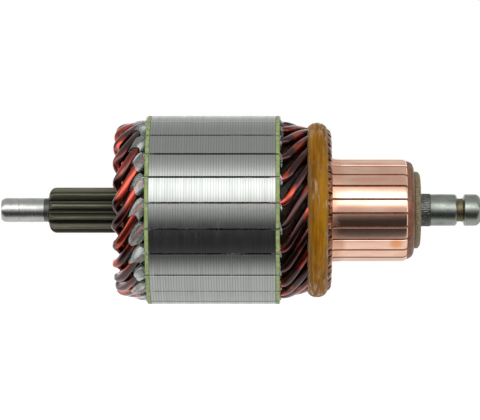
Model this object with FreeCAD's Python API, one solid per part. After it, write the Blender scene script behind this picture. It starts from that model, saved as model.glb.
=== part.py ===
import FreeCAD, Part
import math
import os
from FreeCAD import Vector

# Armature of a geared starter motor, in millimetres.
# The shaft lies along +X from the drive end to the commutator end, and +Z is up.
# The origin is on the shaft's axis, in the middle of the drive end journal.

# Shaft, drive end
DRIVE_JOURNAL_DIA = 7.0
DRIVE_JOURNAL_LENGTH = 12.1
DRIVE_END_CHAMFER = 1.0
NECK_LENGTH = 1.5

# Sun pinion, cut in the shaft
PINION_TEETH = 11
PINION_MODULE = 1.0
PINION_SHIFT = 0.175
PINION_PRESSURE_ANGLE = 20.0
PINION_DEDENDUM = 1.25
PINION_LENGTH = 22.9
PINION_LEAD_IN = 2.6
PINION_TOOTH_ANGLE = 4.8

# Shaft, from the pinion to the commutator
PINION_TO_CORE = 6.4
SEAT_DIA = 12.0

# Shaft, commutator end
END_JOURNAL_DIA = 9.2
KNURL_DIA = 9.6
KNURL_LENGTH = 3.0
END_JOURNAL_LENGTH = 7.6
CLIP_GROOVE_DIA = 6.7
CLIP_GROOVE_LENGTH = 2.1
END_KNOB_LENGTH = 5.0
END_KNOB_EDGE = 0.9

# Laminated core
SLOTS = 23
FIRST_SLOT_ANGLE = 3.6
CORE_DIA = 55.0
LAMINATION = 0.766
LAMINATIONS = 47
SLOT_OPENING = 0.5
SLOT_LIP = 0.9
SLOT_SHOULDER = 0.5
FIBRE_THICKNESS = 1.2

# Winding: one formed bar of copper a coil, an outer leg and an inner leg in each slot
WIRE_WIDTH = 2.3
WIRE_HEIGHT = 2.3
LAYER_GAP = 0.6
LINER_THICKNESS = 0.2
WIRE_TO_LINER = 0.06
LINER_TO_SLOT = 0.05
LINER_OUT_DRIVE = 0.5
LINER_OUT_COMMUTATOR = 0.6
POLES = 6
DRIVE_STRAIGHT = 1.3
DRIVE_OVERHANG = 9.5
DRIVE_DROP = 0.7
KNUCKLE_DEPTH = 0.95
KNUCKLE_SPAN = 3.0
COMMUTATOR_STRAIGHT = 1.5
COMMUTATOR_LEAD_STOP = 1.0
LEAD_DROP_POWER = 1.5
OUTER_LEAD_CHORDS = 3
INNER_LEAD_CHORDS = 1

# Commutator
CORE_TO_RISER = 10.3
RISER_DIA = 47.4
RISER_LENGTH = 4.7
TRACK_DIA = 29.9
TRACK_LENGTH = 21.9
BAR_GAP = 0.5
GAP_UNDERCUT = 0.5
BAR_DEPTH = 2.0
TOE_DEPTH = 2.3
TOE_LENGTH = 1.2
WIRE_TO_RISER = 0.05
BACK_RING_LENGTH = 2.0
END_RING_LENGTH = 2.2
END_RING_STEP = 1.0
WASHER_DIA = 22.6
WASHER_THICKNESS = 1.8

# Band of resin and cord that holds the leads down behind the risers
BAND_THICKNESS = 1.6
BAND_LENGTH = 6.0
BAND_TOP_LENGTH = 2.4
BAND_TO_RISER = 0.3
BAND_BEHIND_RISER = 2.4

# Stations along the axis
x_drive_end = -DRIVE_JOURNAL_LENGTH / 2
x_pinion = DRIVE_JOURNAL_LENGTH / 2 + NECK_LENGTH
x_pinion_end = x_pinion + PINION_LENGTH
x_drive_fibre = x_pinion_end + PINION_TO_CORE
x_core = x_drive_fibre + FIBRE_THICKNESS
x_core_end = x_core + LAMINATION * LAMINATIONS
x_fibre_end = x_core_end + FIBRE_THICKNESS
x_riser = x_fibre_end + CORE_TO_RISER
x_track = x_riser + RISER_LENGTH
x_track_end = x_track + TRACK_LENGTH
x_ring_end = x_track_end + END_RING_LENGTH
x_washer_end = x_ring_end + WASHER_THICKNESS
x_end_journal = x_washer_end + KNURL_LENGTH
x_clip_groove = x_end_journal + END_JOURNAL_LENGTH
x_end_knob = x_clip_groove + CLIP_GROOVE_LENGTH
x_commutator_end = x_end_knob + END_KNOB_LENGTH

# Radii and slot sizes that follow from the copper and its insulation
slot_pitch = 360.0 / SLOTS
half_coil = round(SLOTS / POLES) * slot_pitch / 2
first_bar_angle = FIRST_SLOT_ANGLE - half_coil
slot_shoulder_r = CORE_DIA / 2 - SLOT_LIP - SLOT_SHOULDER
liner_top_r = slot_shoulder_r - LINER_TO_SLOT
outer_layer_r = liner_top_r - LINER_THICKNESS - WIRE_TO_LINER - WIRE_HEIGHT / 2
inner_layer_r = outer_layer_r - WIRE_HEIGHT - LAYER_GAP
liner_bottom_r = inner_layer_r - WIRE_HEIGHT / 2 - WIRE_TO_LINER - LINER_THICKNESS
slot_bottom_r = liner_bottom_r - LINER_TO_SLOT
liner_width = WIRE_WIDTH + 2 * (WIRE_TO_LINER + LINER_THICKNESS)
slot_width = liner_width + 2 * LINER_TO_SLOT
riser_r = RISER_DIA / 2
riser_wire_r = riser_r - WIRE_TO_RISER - WIRE_HEIGHT / 2
track_r = TRACK_DIA / 2
bar_lip_r = track_r - BAR_DEPTH
bar_foot_r = bar_lip_r - TOE_DEPTH
layer_drop = outer_layer_r - inner_layer_r


def at(x, angle, radius):
    """Point at a station, an angle about the shaft in degrees from +Y towards +Z, and a radius."""
    turn = math.radians(angle)
    return Vector(x, radius * math.cos(turn), radius * math.sin(turn))


def outward(angle):
    """Unit vector away from the axis at an angle."""
    return at(0, angle, 1)


def turned(shape, angle):
    """Copy of a shape turned about the shaft's axis."""
    copy = shape.copy()
    copy.rotate(Vector(0, 0, 0), Vector(1, 0, 0), angle)
    return copy


def revolved(profile):
    """Solid of revolution about the shaft, from a closed profile of (x, radius) corners."""
    corners = [Vector(x, radius, 0) for x, radius in profile]
    face = Part.Face(Part.makePolygon(corners + corners[:1]))
    return face.revolve(Vector(0, 0, 0), Vector(1, 0, 0), 360)


def drawn(profile, x, length):
    """Prism along the shaft, from a closed profile of (y, z) corners."""
    corners = [Vector(x, y, z) for y, z in profile]
    return Part.Face(Part.makePolygon(corners + corners[:1])).extrude(Vector(length, 0, 0))


def arc_at(x, radius, start, end):
    """Edge along a circle about the shaft, between two angles."""
    middle = (start + end) / 2
    return Part.Arc(at(x, start, radius), at(x, middle, radius), at(x, end, radius)).toShape()


def box_across(x, length, width, bottom, top):
    """Block centred on the +Y direction, from one radius to another."""
    return Part.makeBox(length, top - bottom, width, Vector(x, bottom, -width / 2))


# Shaft with its pinion

def involute_point(x, radius, tooth_angle, side):
    """Point of a tooth's flank at a radius, on one side (-1 or +1) of the tooth's centre line."""
    pitch_r = PINION_MODULE * PINION_TEETH / 2
    pressure = math.radians(PINION_PRESSURE_ANGLE)
    base_r = pitch_r * math.cos(pressure)
    thickness = PINION_MODULE * (math.pi / 2 + 2 * PINION_SHIFT * math.tan(pressure))
    local = math.acos(min(1.0, base_r / radius))
    opening = math.tan(pressure) - pressure - math.tan(local) + local
    half = thickness / (2 * pitch_r) + opening
    return at(x, tooth_angle + side * math.degrees(half), radius)


def angle_of(point):
    """Angle of a point about the shaft, in degrees."""
    return math.degrees(math.atan2(point.z, point.y))


def pinion_blank(x, length):
    """Straight spur teeth: involute flanks down to the base circle, then radial to the root circle."""
    pitch_r = PINION_MODULE * PINION_TEETH / 2
    base_r = pitch_r * math.cos(math.radians(PINION_PRESSURE_ANGLE))
    tip_r = pitch_r + PINION_MODULE * (1 + PINION_SHIFT)
    root_r = pitch_r - PINION_MODULE * (PINION_DEDENDUM - PINION_SHIFT)
    middle_r = (base_r + tip_r) / 2
    tooth_pitch = 360.0 / PINION_TEETH
    edges = []
    for tooth in range(PINION_TEETH):
        centre = PINION_TOOTH_ANGLE + tooth * tooth_pitch
        low = [involute_point(x, radius, centre, -1) for radius in (base_r, middle_r, tip_r)]
        high = [involute_point(x, radius, centre, 1) for radius in (tip_r, middle_r, base_r)]
        half_base = abs((angle_of(high[2]) - centre + 180) % 360 - 180)
        half_tip = abs((angle_of(high[0]) - centre + 180) % 360 - 180)
        root_in = at(x, centre - half_base, root_r)
        root_out = at(x, centre + half_base, root_r)
        edges.append(Part.LineSegment(root_in, low[0]).toShape())
        edges.append(Part.Arc(*low).toShape())
        edges.append(arc_at(x, tip_r, centre - half_tip, centre + half_tip))
        edges.append(Part.Arc(*high).toShape())
        edges.append(Part.LineSegment(high[2], root_out).toShape())
        edges.append(arc_at(x, root_r, centre + half_base, centre + tooth_pitch - half_base))
    teeth = Part.Face(Part.Wire(edges)).extrude(Vector(length, 0, 0))
    envelope = revolved([
        (x, 0),
        (x, root_r),
        (x + PINION_LEAD_IN, tip_r),
        (x + length, tip_r),
        (x + length, 0),
    ])
    return teeth.common(envelope)


def make_shaft():
    """One steel piece: two journals, the sun pinion, the press seats and the clip groove."""
    drive_r = DRIVE_JOURNAL_DIA / 2
    seat_r = SEAT_DIA / 2
    knurl_r = KNURL_DIA / 2
    end_r = END_JOURNAL_DIA / 2
    groove_r = CLIP_GROOVE_DIA / 2
    drive_side = revolved([
        (x_drive_end, 0),
        (x_drive_end, drive_r - DRIVE_END_CHAMFER / 2),
        (x_drive_end + DRIVE_END_CHAMFER, drive_r),
        (x_pinion, drive_r),
        (x_pinion, 0),
    ])
    core_side = revolved([
        (x_pinion_end, 0),
        (x_pinion_end, seat_r),
        (x_ring_end, seat_r),
        (x_ring_end, knurl_r),
        (x_end_journal, knurl_r),
        (x_end_journal, end_r),
        (x_clip_groove, end_r),
        (x_clip_groove, groove_r),
        (x_end_knob, groove_r),
        (x_end_knob, end_r),
        (x_commutator_end - END_KNOB_EDGE, end_r),
        (x_commutator_end, end_r - END_KNOB_EDGE),
        (x_commutator_end, 0),
    ])
    return drive_side.fuse([pinion_blank(x_pinion, PINION_LENGTH), core_side]).removeSplitter()


# Core and its end fibres

def slotted_plate(x, thickness, slot_side):
    """Disc with a slot at each pitch, from one slot side as (half width, radius) from the rim inwards."""
    rim_r = CORE_DIA / 2
    mouth = math.degrees(math.asin(slot_side[0][0] / rim_r))
    edges = []
    for slot in range(SLOTS):
        centre = FIRST_SLOT_ANGLE + slot * slot_pitch
        along = outward(centre)
        across = outward(centre + 90)
        one_side = [at(x, centre - mouth, rim_r)]
        one_side += [along * radius - across * half + Vector(x, 0, 0) for half, radius in slot_side[1:]]
        other_side = [along * radius + across * half + Vector(x, 0, 0) for half, radius in slot_side[:0:-1]]
        other_side += [at(x, centre + mouth, rim_r)]
        corners = one_side + other_side
        for start, end in zip(corners, corners[1:]):
            edges.append(Part.LineSegment(start, end).toShape())
        edges.append(arc_at(x, rim_r, centre + mouth, centre + slot_pitch - mouth))
    rim = Part.Wire(edges)
    bore = Part.Wire(Part.makeCircle(SEAT_DIA / 2, Vector(x, 0, 0), Vector(1, 0, 0)))
    return Part.Face([rim, bore]).extrude(Vector(thickness, 0, 0))


def make_core_stack():
    """Pressed stack of laminations with nearly closed slots."""
    return slotted_plate(x_core, x_core_end - x_core, [
        (SLOT_OPENING / 2, CORE_DIA / 2),
        (SLOT_OPENING / 2, CORE_DIA / 2 - SLOT_LIP),
        (slot_width / 2, slot_shoulder_r),
        (slot_width / 2, slot_bottom_r),
    ])


def make_end_fibre(x):
    """Fibre disc that keeps the copper off the corners of the core."""
    return slotted_plate(x, FIBRE_THICKNESS, [
        (SLOT_OPENING / 2, CORE_DIA / 2),
        (slot_width / 2, slot_shoulder_r),
        (slot_width / 2, slot_bottom_r),
    ])


def make_slot_liner(slot):
    """Film sleeve round both legs of one slot, proud of the fibres at both ends."""
    x = x_drive_fibre - LINER_OUT_DRIVE
    length = x_fibre_end + LINER_OUT_COMMUTATOR - x
    wall = LINER_THICKNESS
    outside = box_across(x, length, liner_width, liner_bottom_r, liner_top_r)
    inside = box_across(x, length, liner_width - 2 * wall, liner_bottom_r + wall, liner_top_r - wall)
    return turned(outside.cut(inside), FIRST_SLOT_ANGLE + slot * slot_pitch)


# Winding

def bar_section(before, point, after, angle):
    """Four corners of the copper where its path passes a point, mitred between the two runs."""
    run_in = (point - before).normalize() if before else (after - point).normalize()
    run_out = (after - point).normalize() if after else run_in
    along = (run_in + run_out).normalize()
    across = along.cross(outward(angle)).normalize()
    up = across.cross(along)
    bend = run_out - run_in
    corners = []
    for height, width in ((1, 1), (1, -1), (-1, -1), (-1, 1)):
        corner = up * (height * WIRE_HEIGHT / 2) + across * (width * WIRE_WIDTH / 2)
        if bend.Length > 1e-6:
            towards = Vector(bend).normalize()
            corner += towards * (corner.dot(towards) * (1 / along.dot(run_in) - 1))
        corners.append(point + corner)
    return corners


def flat(corners):
    """Flat face through its corners."""
    return Part.Face(Part.makePolygon(corners + corners[:1]))


def creased_loft(sections):
    """Solid through four-cornered sections, each side creased along a diagonal where it twists."""
    faces = [flat(sections[0]), flat(sections[-1])]
    for near, far in zip(sections, sections[1:]):
        for i in range(4):
            j = (i + 1) % 4
            a, b, c, d = near[i], near[j], far[j], far[i]
            twist = (b - a).cross(d - a).dot(c - a)
            if abs(twist) < 1e-7:
                faces.append(flat([a, b, c, d]))
            else:
                faces.append(flat([a, b, c]))
                faces.append(flat([a, c, d]))
    solid = Part.Solid(Part.Shell(faces))
    if solid.Volume < 0:
        solid.reverse()
    return solid


def leg_path(slot_angle, layer_r, riser_wire, sense, lead_chords):
    """Path of one leg from the riser to the last point before the knuckle.

    The leg leaves the core on the slant at both ends. sense is -1 for the outer leg,
    which leans back at the commutator, and +1 for the inner leg. The lead to the
    riser winds in by straight chords, and most of its drop comes near the core. The
    drive end leans in towards the knuckle.
    """
    lead_start = x_fibre_end + COMMUTATOR_STRAIGHT
    lead_stop = x_riser - COMMUTATOR_LEAD_STOP
    drive_start = x_drive_fibre - DRIVE_STRAIGHT
    drive_stop = x_drive_fibre - DRIVE_OVERHANG + WIRE_WIDTH / 2 + KNUCKLE_DEPTH
    knuckle_start = half_coil - KNUCKLE_SPAN
    drop = layer_r - riser_wire
    path = [(x_track, slot_angle + sense * half_coil, riser_wire)]
    for chord in range(lead_chords, -1, -1):
        share = chord / lead_chords
        radius = riser_wire + drop * (1 - share) ** LEAD_DROP_POWER
        path.append((lead_start + share * (lead_stop - lead_start), slot_angle + sense * share * half_coil, radius))
    return path + [
        (drive_start, slot_angle, layer_r),
        ((drive_start + drive_stop) / 2, slot_angle - sense * knuckle_start / 2, layer_r - DRIVE_DROP / 2),
        (drive_stop, slot_angle - sense * knuckle_start, layer_r - DRIVE_DROP),
    ]


def make_hairpin(number):
    """One formed coil: outer leg, knuckle at the drive end, and inner leg some slots further round."""
    slot_angle = FIRST_SLOT_ANGLE + number * slot_pitch
    outer = leg_path(slot_angle, outer_layer_r, riser_wire_r, -1, OUTER_LEAD_CHORDS)
    inner_slot = slot_angle + 2 * half_coil
    inner = leg_path(inner_slot, inner_layer_r, riser_wire_r - layer_drop, 1, INNER_LEAD_CHORDS)
    knuckle_x = x_drive_fibre - DRIVE_OVERHANG + WIRE_WIDTH / 2
    knuckle = (knuckle_x, slot_angle + half_coil, (outer_layer_r + inner_layer_r) / 2 - DRIVE_DROP)
    stations = outer + [knuckle] + inner[::-1]
    points = [at(*station) for station in stations]
    sections = []
    for i, station in enumerate(stations):
        before = points[i - 1] if i > 0 else None
        after = points[i + 1] if i + 1 < len(points) else None
        sections.append(bar_section(before, points[i], after, station[1]))
    return creased_loft(sections)


# Commutator

def bar_half_width(radius, gap):
    """Half the width of a bar at a height over the axis, with parallel gaps between the bars."""
    half_pitch = math.radians(slot_pitch / 2)
    return radius * math.tan(half_pitch) - gap / 2 / math.cos(half_pitch)


def bar_foot_profile(top_r):
    """Outline of a bar seen from the side, with a toe at each end of its foot and a plain top."""
    return [
        (x_riser, top_r),
        (x_riser, bar_lip_r),
        (x_riser - TOE_LENGTH, bar_foot_r),
        (x_track_end + TOE_LENGTH, bar_foot_r),
        (x_track_end, bar_lip_r),
        (x_track_end, top_r),
    ]


def make_bar_blank():
    """One copper bar about the +Y direction: toed foot, brush track and slotted riser."""
    clear = riser_r + WIRE_HEIGHT
    toe_start = x_riser - TOE_LENGTH
    toe_end = x_track_end + TOE_LENGTH
    side = [Vector(x, radius, -clear / 2) for x, radius in bar_foot_profile(clear)]
    block = Part.Face(Part.makePolygon(side + side[:1])).extrude(Vector(0, 0, clear))
    inner = bar_foot_r / 2
    wedge = drawn([
        (inner, -bar_half_width(inner, BAR_GAP)),
        (clear, -bar_half_width(clear, BAR_GAP)),
        (clear, bar_half_width(clear, BAR_GAP)),
        (inner, bar_half_width(inner, BAR_GAP)),
    ], toe_start, toe_end - toe_start)
    turning = turned(revolved([
        (toe_start, 0),
        (toe_start, riser_r),
        (x_track, riser_r),
        (x_track, track_r),
        (toe_end, track_r),
        (toe_end, 0),
    ]), 180)
    wire_slot_bottom = riser_wire_r - layer_drop - WIRE_HEIGHT / 2 - WIRE_TO_RISER
    wire_slot = box_across(x_riser, RISER_LENGTH, WIRE_WIDTH + 2 * WIRE_TO_RISER, wire_slot_bottom, clear)
    return block.common(wedge).common(turning).cut(wire_slot)


def make_commutator_moulding(bars):
    """Moulded hub that grips the feet of the bars, with thin ribs between them and an end ring."""
    ring_r = track_r - END_RING_STEP
    hub_start = x_riser - BACK_RING_LENGTH
    gaps = [first_bar_angle + (bar + 0.5) * slot_pitch for bar in range(SLOTS)]
    corner_r = bar_lip_r / math.cos(math.radians(slot_pitch / 2))
    corners = [at(0, gap, corner_r) for gap in gaps]
    core = drawn([(corner.y, corner.z) for corner in corners], hub_start, x_track_end - hub_start)
    ring = revolved([
        (x_track_end, 0),
        (x_track_end, ring_r),
        (x_ring_end, ring_r),
        (x_ring_end, 0),
    ])
    rib = box_across(x_riser, x_track_end - x_riser, BAR_GAP, bar_lip_r, track_r - GAP_UNDERCUT)
    bore = revolved([(hub_start, 0), (hub_start, SEAT_DIA / 2), (x_ring_end, SEAT_DIA / 2), (x_ring_end, 0)])
    ribs = [turned(rib, gap) for gap in gaps]
    return core.fuse([ring] + ribs).cut(bars + [bore]).removeSplitter()


def make_end_washer():
    """Fibre washer against the end of the commutator."""
    return revolved([
        (x_ring_end, KNURL_DIA / 2),
        (x_ring_end, WASHER_DIA / 2),
        (x_washer_end, WASHER_DIA / 2),
        (x_washer_end, KNURL_DIA / 2),
    ])


def make_binding_band():
    """Crowned ring of resin and cord over the leads and the back of the risers."""
    bore_r = riser_r + BAND_TO_RISER
    top_r = bore_r + BAND_THICKNESS
    start = x_riser - BAND_BEHIND_RISER
    end = start + BAND_LENGTH
    top_start = start + (BAND_LENGTH - BAND_TOP_LENGTH) / 2
    top_end = top_start + BAND_TOP_LENGTH
    return revolved([
        (start, bore_r),
        (top_start, top_r),
        (top_end, top_r),
        (end, bore_r),
    ])


def save(name, shape):
    """Write one sub-part."""
    shape.exportStep("parts/" + name + ".step")


def main():
    """Build every sub-part in its place on the shaft and write it."""
    os.makedirs("parts", exist_ok=True)
    save("shaft", make_shaft())
    save("core_stack", make_core_stack())
    save("drive_end_fibre", make_end_fibre(x_drive_fibre))
    save("commutator_end_fibre", make_end_fibre(x_core_end))
    save("slot_liners", Part.makeCompound([make_slot_liner(slot) for slot in range(SLOTS)]))
    for number in range(SLOTS):
        save("hairpin_%02d" % (number + 1), make_hairpin(number))
    blank = make_bar_blank()
    bars = [turned(blank, first_bar_angle + bar * slot_pitch) for bar in range(SLOTS)]
    for number, bar in enumerate(bars):
        save("commutator_bar_%02d" % (number + 1), bar)
    save("commutator_moulding", make_commutator_moulding(bars))
    save("commutator_end_washer", make_end_washer())
    save("binding_band", make_binding_band())


main()
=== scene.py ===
"""Looks of the wound rotor of a geared starter motor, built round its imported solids.

Shapes are worked out in millimetres, as numpy arrays of points, and stored in metres.
The shaft lies along +X from the drive end to the commutator end.
"""
import logging
import math
from dataclasses import dataclass, field
from enum import Enum
from typing import Iterable, Optional, Sequence, Tuple

import bpy
import numpy as np
from mathutils.geometry import tessellate_polygon
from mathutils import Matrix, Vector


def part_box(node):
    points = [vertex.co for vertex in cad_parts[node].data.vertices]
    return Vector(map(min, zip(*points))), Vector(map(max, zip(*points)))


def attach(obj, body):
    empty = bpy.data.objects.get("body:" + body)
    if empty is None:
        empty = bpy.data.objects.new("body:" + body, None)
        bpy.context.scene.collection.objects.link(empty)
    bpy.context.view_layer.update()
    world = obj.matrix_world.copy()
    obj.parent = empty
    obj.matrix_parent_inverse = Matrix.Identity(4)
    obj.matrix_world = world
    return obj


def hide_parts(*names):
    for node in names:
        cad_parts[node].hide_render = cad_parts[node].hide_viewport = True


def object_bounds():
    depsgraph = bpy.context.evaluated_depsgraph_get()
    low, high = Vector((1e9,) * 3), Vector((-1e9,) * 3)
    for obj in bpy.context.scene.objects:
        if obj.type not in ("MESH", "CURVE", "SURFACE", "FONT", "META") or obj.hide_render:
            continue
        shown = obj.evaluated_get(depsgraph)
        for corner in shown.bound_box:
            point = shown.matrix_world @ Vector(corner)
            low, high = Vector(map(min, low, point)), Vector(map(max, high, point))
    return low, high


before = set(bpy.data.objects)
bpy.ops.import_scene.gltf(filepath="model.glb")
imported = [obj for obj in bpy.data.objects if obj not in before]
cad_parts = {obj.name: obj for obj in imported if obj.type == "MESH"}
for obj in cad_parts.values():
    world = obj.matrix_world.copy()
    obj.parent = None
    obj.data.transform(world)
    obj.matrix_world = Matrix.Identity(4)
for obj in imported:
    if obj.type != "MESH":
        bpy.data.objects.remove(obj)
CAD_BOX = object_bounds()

LOG = logging.getLogger("rotor")
MM = 0.001
FULL_TURN = 2 * math.pi
BODY = "root"
FLOW = "flow"
WHITE = (1.0, 1.0, 1.0, 1.0)

Array = np.ndarray
Material = bpy.types.Material
Socket = bpy.types.NodeSocket
Pair = Tuple[float, float]
Triple = Tuple[float, float, float]
Colour = Tuple[float, float, float, float]
# Of a noise: waves along and across, detail and roughness
Waves = Tuple[float, float, float, float]
# From the range of the first two values to the range of the last two
Span = Tuple[float, float, float, float]
# Most values of a noise lie in MIDDLE, and nearly all in WIDE
MIDDLE: Pair = (0.3, 0.7)
WIDE: Pair = (0.2, 0.8)


def photo_colour(red: int, green: int, blue: int) -> Colour:
    """Scene colour of an 8 bit display colour.

    Args:
        red: Red from 0 to 255.
        green: Green from 0 to 255.
        blue: Blue from 0 to 255.

    Returns:
        Linear red, green and blue with full alpha.
    """
    display = np.array([red, green, blue]) / 255
    linear = np.where(display <= 0.04045, display / 12.92, ((display + 0.055) / 1.055) ** 2.4)
    return (*linear.tolist(), 1.0)


def end_of(node: str, side: int) -> float:
    """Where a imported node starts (side 0) or ends (side 1) along the shaft, in millimetres."""
    return float(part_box(node)[side][0]) / MM


def packed(node: str, side: int) -> float:
    """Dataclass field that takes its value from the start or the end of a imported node."""
    return field(default_factory=lambda: end_of(node, side))


# Meshes


@dataclass
class Patch:
    """Points in millimetres, with the quads and triangles between them."""

    points: Array
    quads: Array = field(default_factory=lambda: np.zeros((0, 4), int))
    triangles: Array = field(default_factory=lambda: np.zeros((0, 3), int))

    def volume(self) -> float:
        """Signed volume inside the faces, positive when they point outwards.

        Returns:
            Volume in cubic millimetres.
        """
        halves = np.vstack([self.triangles, self.quads[:, [0, 1, 2]], self.quads[:, [0, 2, 3]]])
        a, b, c = (self.points[halves[:, i]] for i in range(3))
        return float(np.einsum("ij,ij->i", a, np.cross(b, c)).sum() / 6)

    def flipped(self) -> "Patch":
        """The same surface with its faces pointing the other way."""
        return Patch(self.points, self.quads[:, ::-1], self.triangles[:, ::-1])

    def outward(self) -> "Patch":
        """The same tube or closed surface with its faces pointing outwards."""
        return self if self.volume() >= 0 else self.flipped()

    def looking(self, sense: int) -> "Patch":
        """The same flat face of triangles, looking along +x (sense 1) or -x (sense -1)."""
        a, b, c = (self.points[self.triangles[:, i]] for i in range(3))
        return self if float(np.cross(b - a, c - a)[:, 0].sum()) * sense > 0 else self.flipped()

    def turned(self, degrees: float) -> "Patch":
        """Copy turned about the shaft's axis: y and z mix by the cosine and sine of the angle.

        Args:
            degrees: How far it turns, from +Y towards +Z.

        Returns:
            The turned copy.
        """
        c, s = math.cos(math.radians(degrees)), math.sin(math.radians(degrees))
        spin = np.array([[1, 0, 0], [0, c, s], [0, -s, c]])
        return Patch(self.points @ spin, self.quads, self.triangles)


def together(patches: Iterable[Patch]) -> Patch:
    """One patch that holds several, each with its indices moved past those before it.

    Args:
        patches: Patches in the order in which their points are kept.

    Returns:
        The joint patch.
    """
    items = list(patches)
    starts = np.cumsum([0] + [len(item.points) for item in items])
    return Patch(
        np.vstack([item.points for item in items]),
        np.vstack([item.quads + start for item, start in zip(items, starts)]),
        np.vstack([item.triangles + start for item, start in zip(items, starts)]),
    )


def skin(grid: Array, close_rows: bool = False) -> Patch:
    """Quads over a grid of points whose columns run round a closed loop.

    Args:
        grid: Points as rows by columns by three.
        close_rows: Whether the last row joins the first one, as on a ring.

    Returns:
        The open or closed tube.
    """
    rows, columns = grid.shape[:2]
    index = np.arange(rows * columns).reshape(rows, columns)
    below = np.roll(index, -1, axis=0) if close_rows else index[1:]
    here = index if close_rows else index[:-1]
    quads = np.stack([here, np.roll(here, -1, 1), np.roll(below, -1, 1), below], axis=-1)
    return Patch(grid.reshape(-1, 3), quads.reshape(-1, 4))


def end_face(loop: Array, hole: Optional[Array] = None) -> Patch:
    """Flat face across the shaft.

    Args:
        loop: Points of its edge.
        hole: Points of the edge of a hole in it.

    Returns:
        Triangles that may look either way.
    """
    loops = [loop] if hole is None else [loop, hole]
    flat = [[(point[1], point[2], 0.0) for point in ring.tolist()] for ring in loops]
    return Patch(np.vstack(loops), triangles=np.array(tessellate_polygon(flat)))


def capped(grid: Array) -> Patch:
    """Tube over a grid, closed at both ends by fans to the middles of its end loops.

    Args:
        grid: Points as rows by columns by three.

    Returns:
        The closed patch.
    """
    tube = skin(grid)
    rows, columns = grid.shape[:2]
    middles = np.array([grid[0].mean(0), grid[-1].mean(0)])
    around = np.arange(columns)
    following = np.roll(around, -1)
    first = np.stack([following, around, np.full(columns, rows * columns)], axis=1)
    last_row = (rows - 1) * columns
    last = np.stack([last_row + around, last_row + following, np.full(columns, rows * columns + 1)], axis=1)
    return Patch(np.vstack([tube.points, middles]), tube.quads, np.vstack([first, last]))


def walled(grid: Array, bore: Optional[Array] = None) -> Patch:
    """Solid with flat ends across the shaft.

    Args:
        grid: Points of its wall, as rows by columns by three.
        bore: Points of the wall of a hole through it, from end to end.

    Returns:
        The closed patch.
    """
    parts = [skin(grid).outward()]
    if bore is not None:
        parts.append(skin(bore).outward().flipped())
    for row, sense in ((0, -1), (-1, 1)):
        parts.append(end_face(grid[row], None if bore is None else bore[row]).looking(sense))
    return together(parts)


def prism(section: Array, low: float, high: float) -> Patch:
    """Closed straight bar over a section of (y, z), from low to high along x."""
    grid = np.stack([np.column_stack([np.full(len(section), x), section]) for x in (low, high)])
    return capped(grid).outward()


def around(stations: Array, radius: Array, angle: Array) -> Array:
    """Points round the shaft, as (x, r cos a, r sin a).

    Args:
        stations: Place along x of each row.
        radius: Radius in rows by columns, or in rows by one.
        angle: Angle of each column, or of each point.

    Returns:
        Grid of points as rows by columns by three.
    """
    y, z = radius * np.cos(angle), radius * np.sin(angle)
    return np.stack([np.broadcast_to(stations[:, None], y.shape), y, z], axis=-1)


def round_axis(profile: Array, segments: int) -> Array:
    """Grid of a profile of (x, radius) turned about the shaft in equal steps."""
    return around(profile[:, 0], profile[:, 1:], np.linspace(0, FULL_TURN, segments, endpoint=False))


def rounded(corners: Sequence[Triple], steps: int = 6, closed: bool = False) -> Array:
    """Outline through corners of (x, radius, rounding), each corner eased by a quadratic curve.

    The curve starts and ends the rounding's length away from the corner, on its two sides:
    p = (1 - t)^2 a + 2 t (1 - t) corner + t^2 b.

    Args:
        corners: Corner points with their rounding lengths, 0 for a sharp corner.
        steps: Pieces that each curve is made of.
        closed: Whether the outline returns to its first corner.

    Returns:
        Points of the outline as (x, radius).
    """
    values = np.array(corners, float)
    places = values[:, :2]
    share = np.linspace(0, 1, steps + 1)[:, None]
    outline = []
    for i, (place, ease) in enumerate(zip(places, values[:, 2])):
        if ease == 0 or (not closed and i in (0, len(places) - 1)):
            outline.append(place[None])
            continue
        before = places[i - 1] - place
        after = places[(i + 1) % len(places)] - place
        a = place + before / np.linalg.norm(before) * ease
        b = place + after / np.linalg.norm(after) * ease
        outline.append((1 - share) ** 2 * a + 2 * share * (1 - share) * place + share ** 2 * b)
    return np.vstack(outline)


def turned_ring(corners: Sequence[Triple], segments: int = 192) -> Patch:
    """Ring about the shaft from a closed outline of corners."""
    return skin(round_axis(rounded(corners, closed=True), segments), close_rows=True).outward()


def turned_bar(corners: Sequence[Triple], segments: int = 128) -> Patch:
    """Solid bar about the shaft from an open outline of corners."""
    return capped(round_axis(rounded(corners), segments)).outward()


def run_length(path: Array) -> Array:
    """Length of a path from its start to each of its points."""
    return np.concatenate([[0], np.cumsum(np.linalg.norm(np.diff(path, axis=0), axis=1))])


def evenly(path: Array, step: float) -> Array:
    """Path sampled again in equal steps of its own length.

    Args:
        path: Rows of points.
        step: About how long the steps are.

    Returns:
        Rows of points.
    """
    length = run_length(path)
    wanted = np.linspace(0, length[-1], int(length[-1] / step) + 1)
    return np.column_stack([np.interp(wanted, length, path[:, i]) for i in range(3)])


def frames(path: Array) -> Tuple[Array, Array]:
    """Unit vectors at each point of a path.

    Args:
        path: Rows of points.

    Returns:
        Those across the run and square to the shaft's radius, and those square to both.
    """
    along = np.gradient(path, axis=0)
    along /= np.linalg.norm(along, axis=1, keepdims=True)
    outward = path * (0, 1, 1)
    outward /= np.linalg.norm(outward, axis=1, keepdims=True)
    across = np.cross(along, outward)
    across /= np.linalg.norm(across, axis=1, keepdims=True)
    return across, np.cross(across, along)


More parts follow.
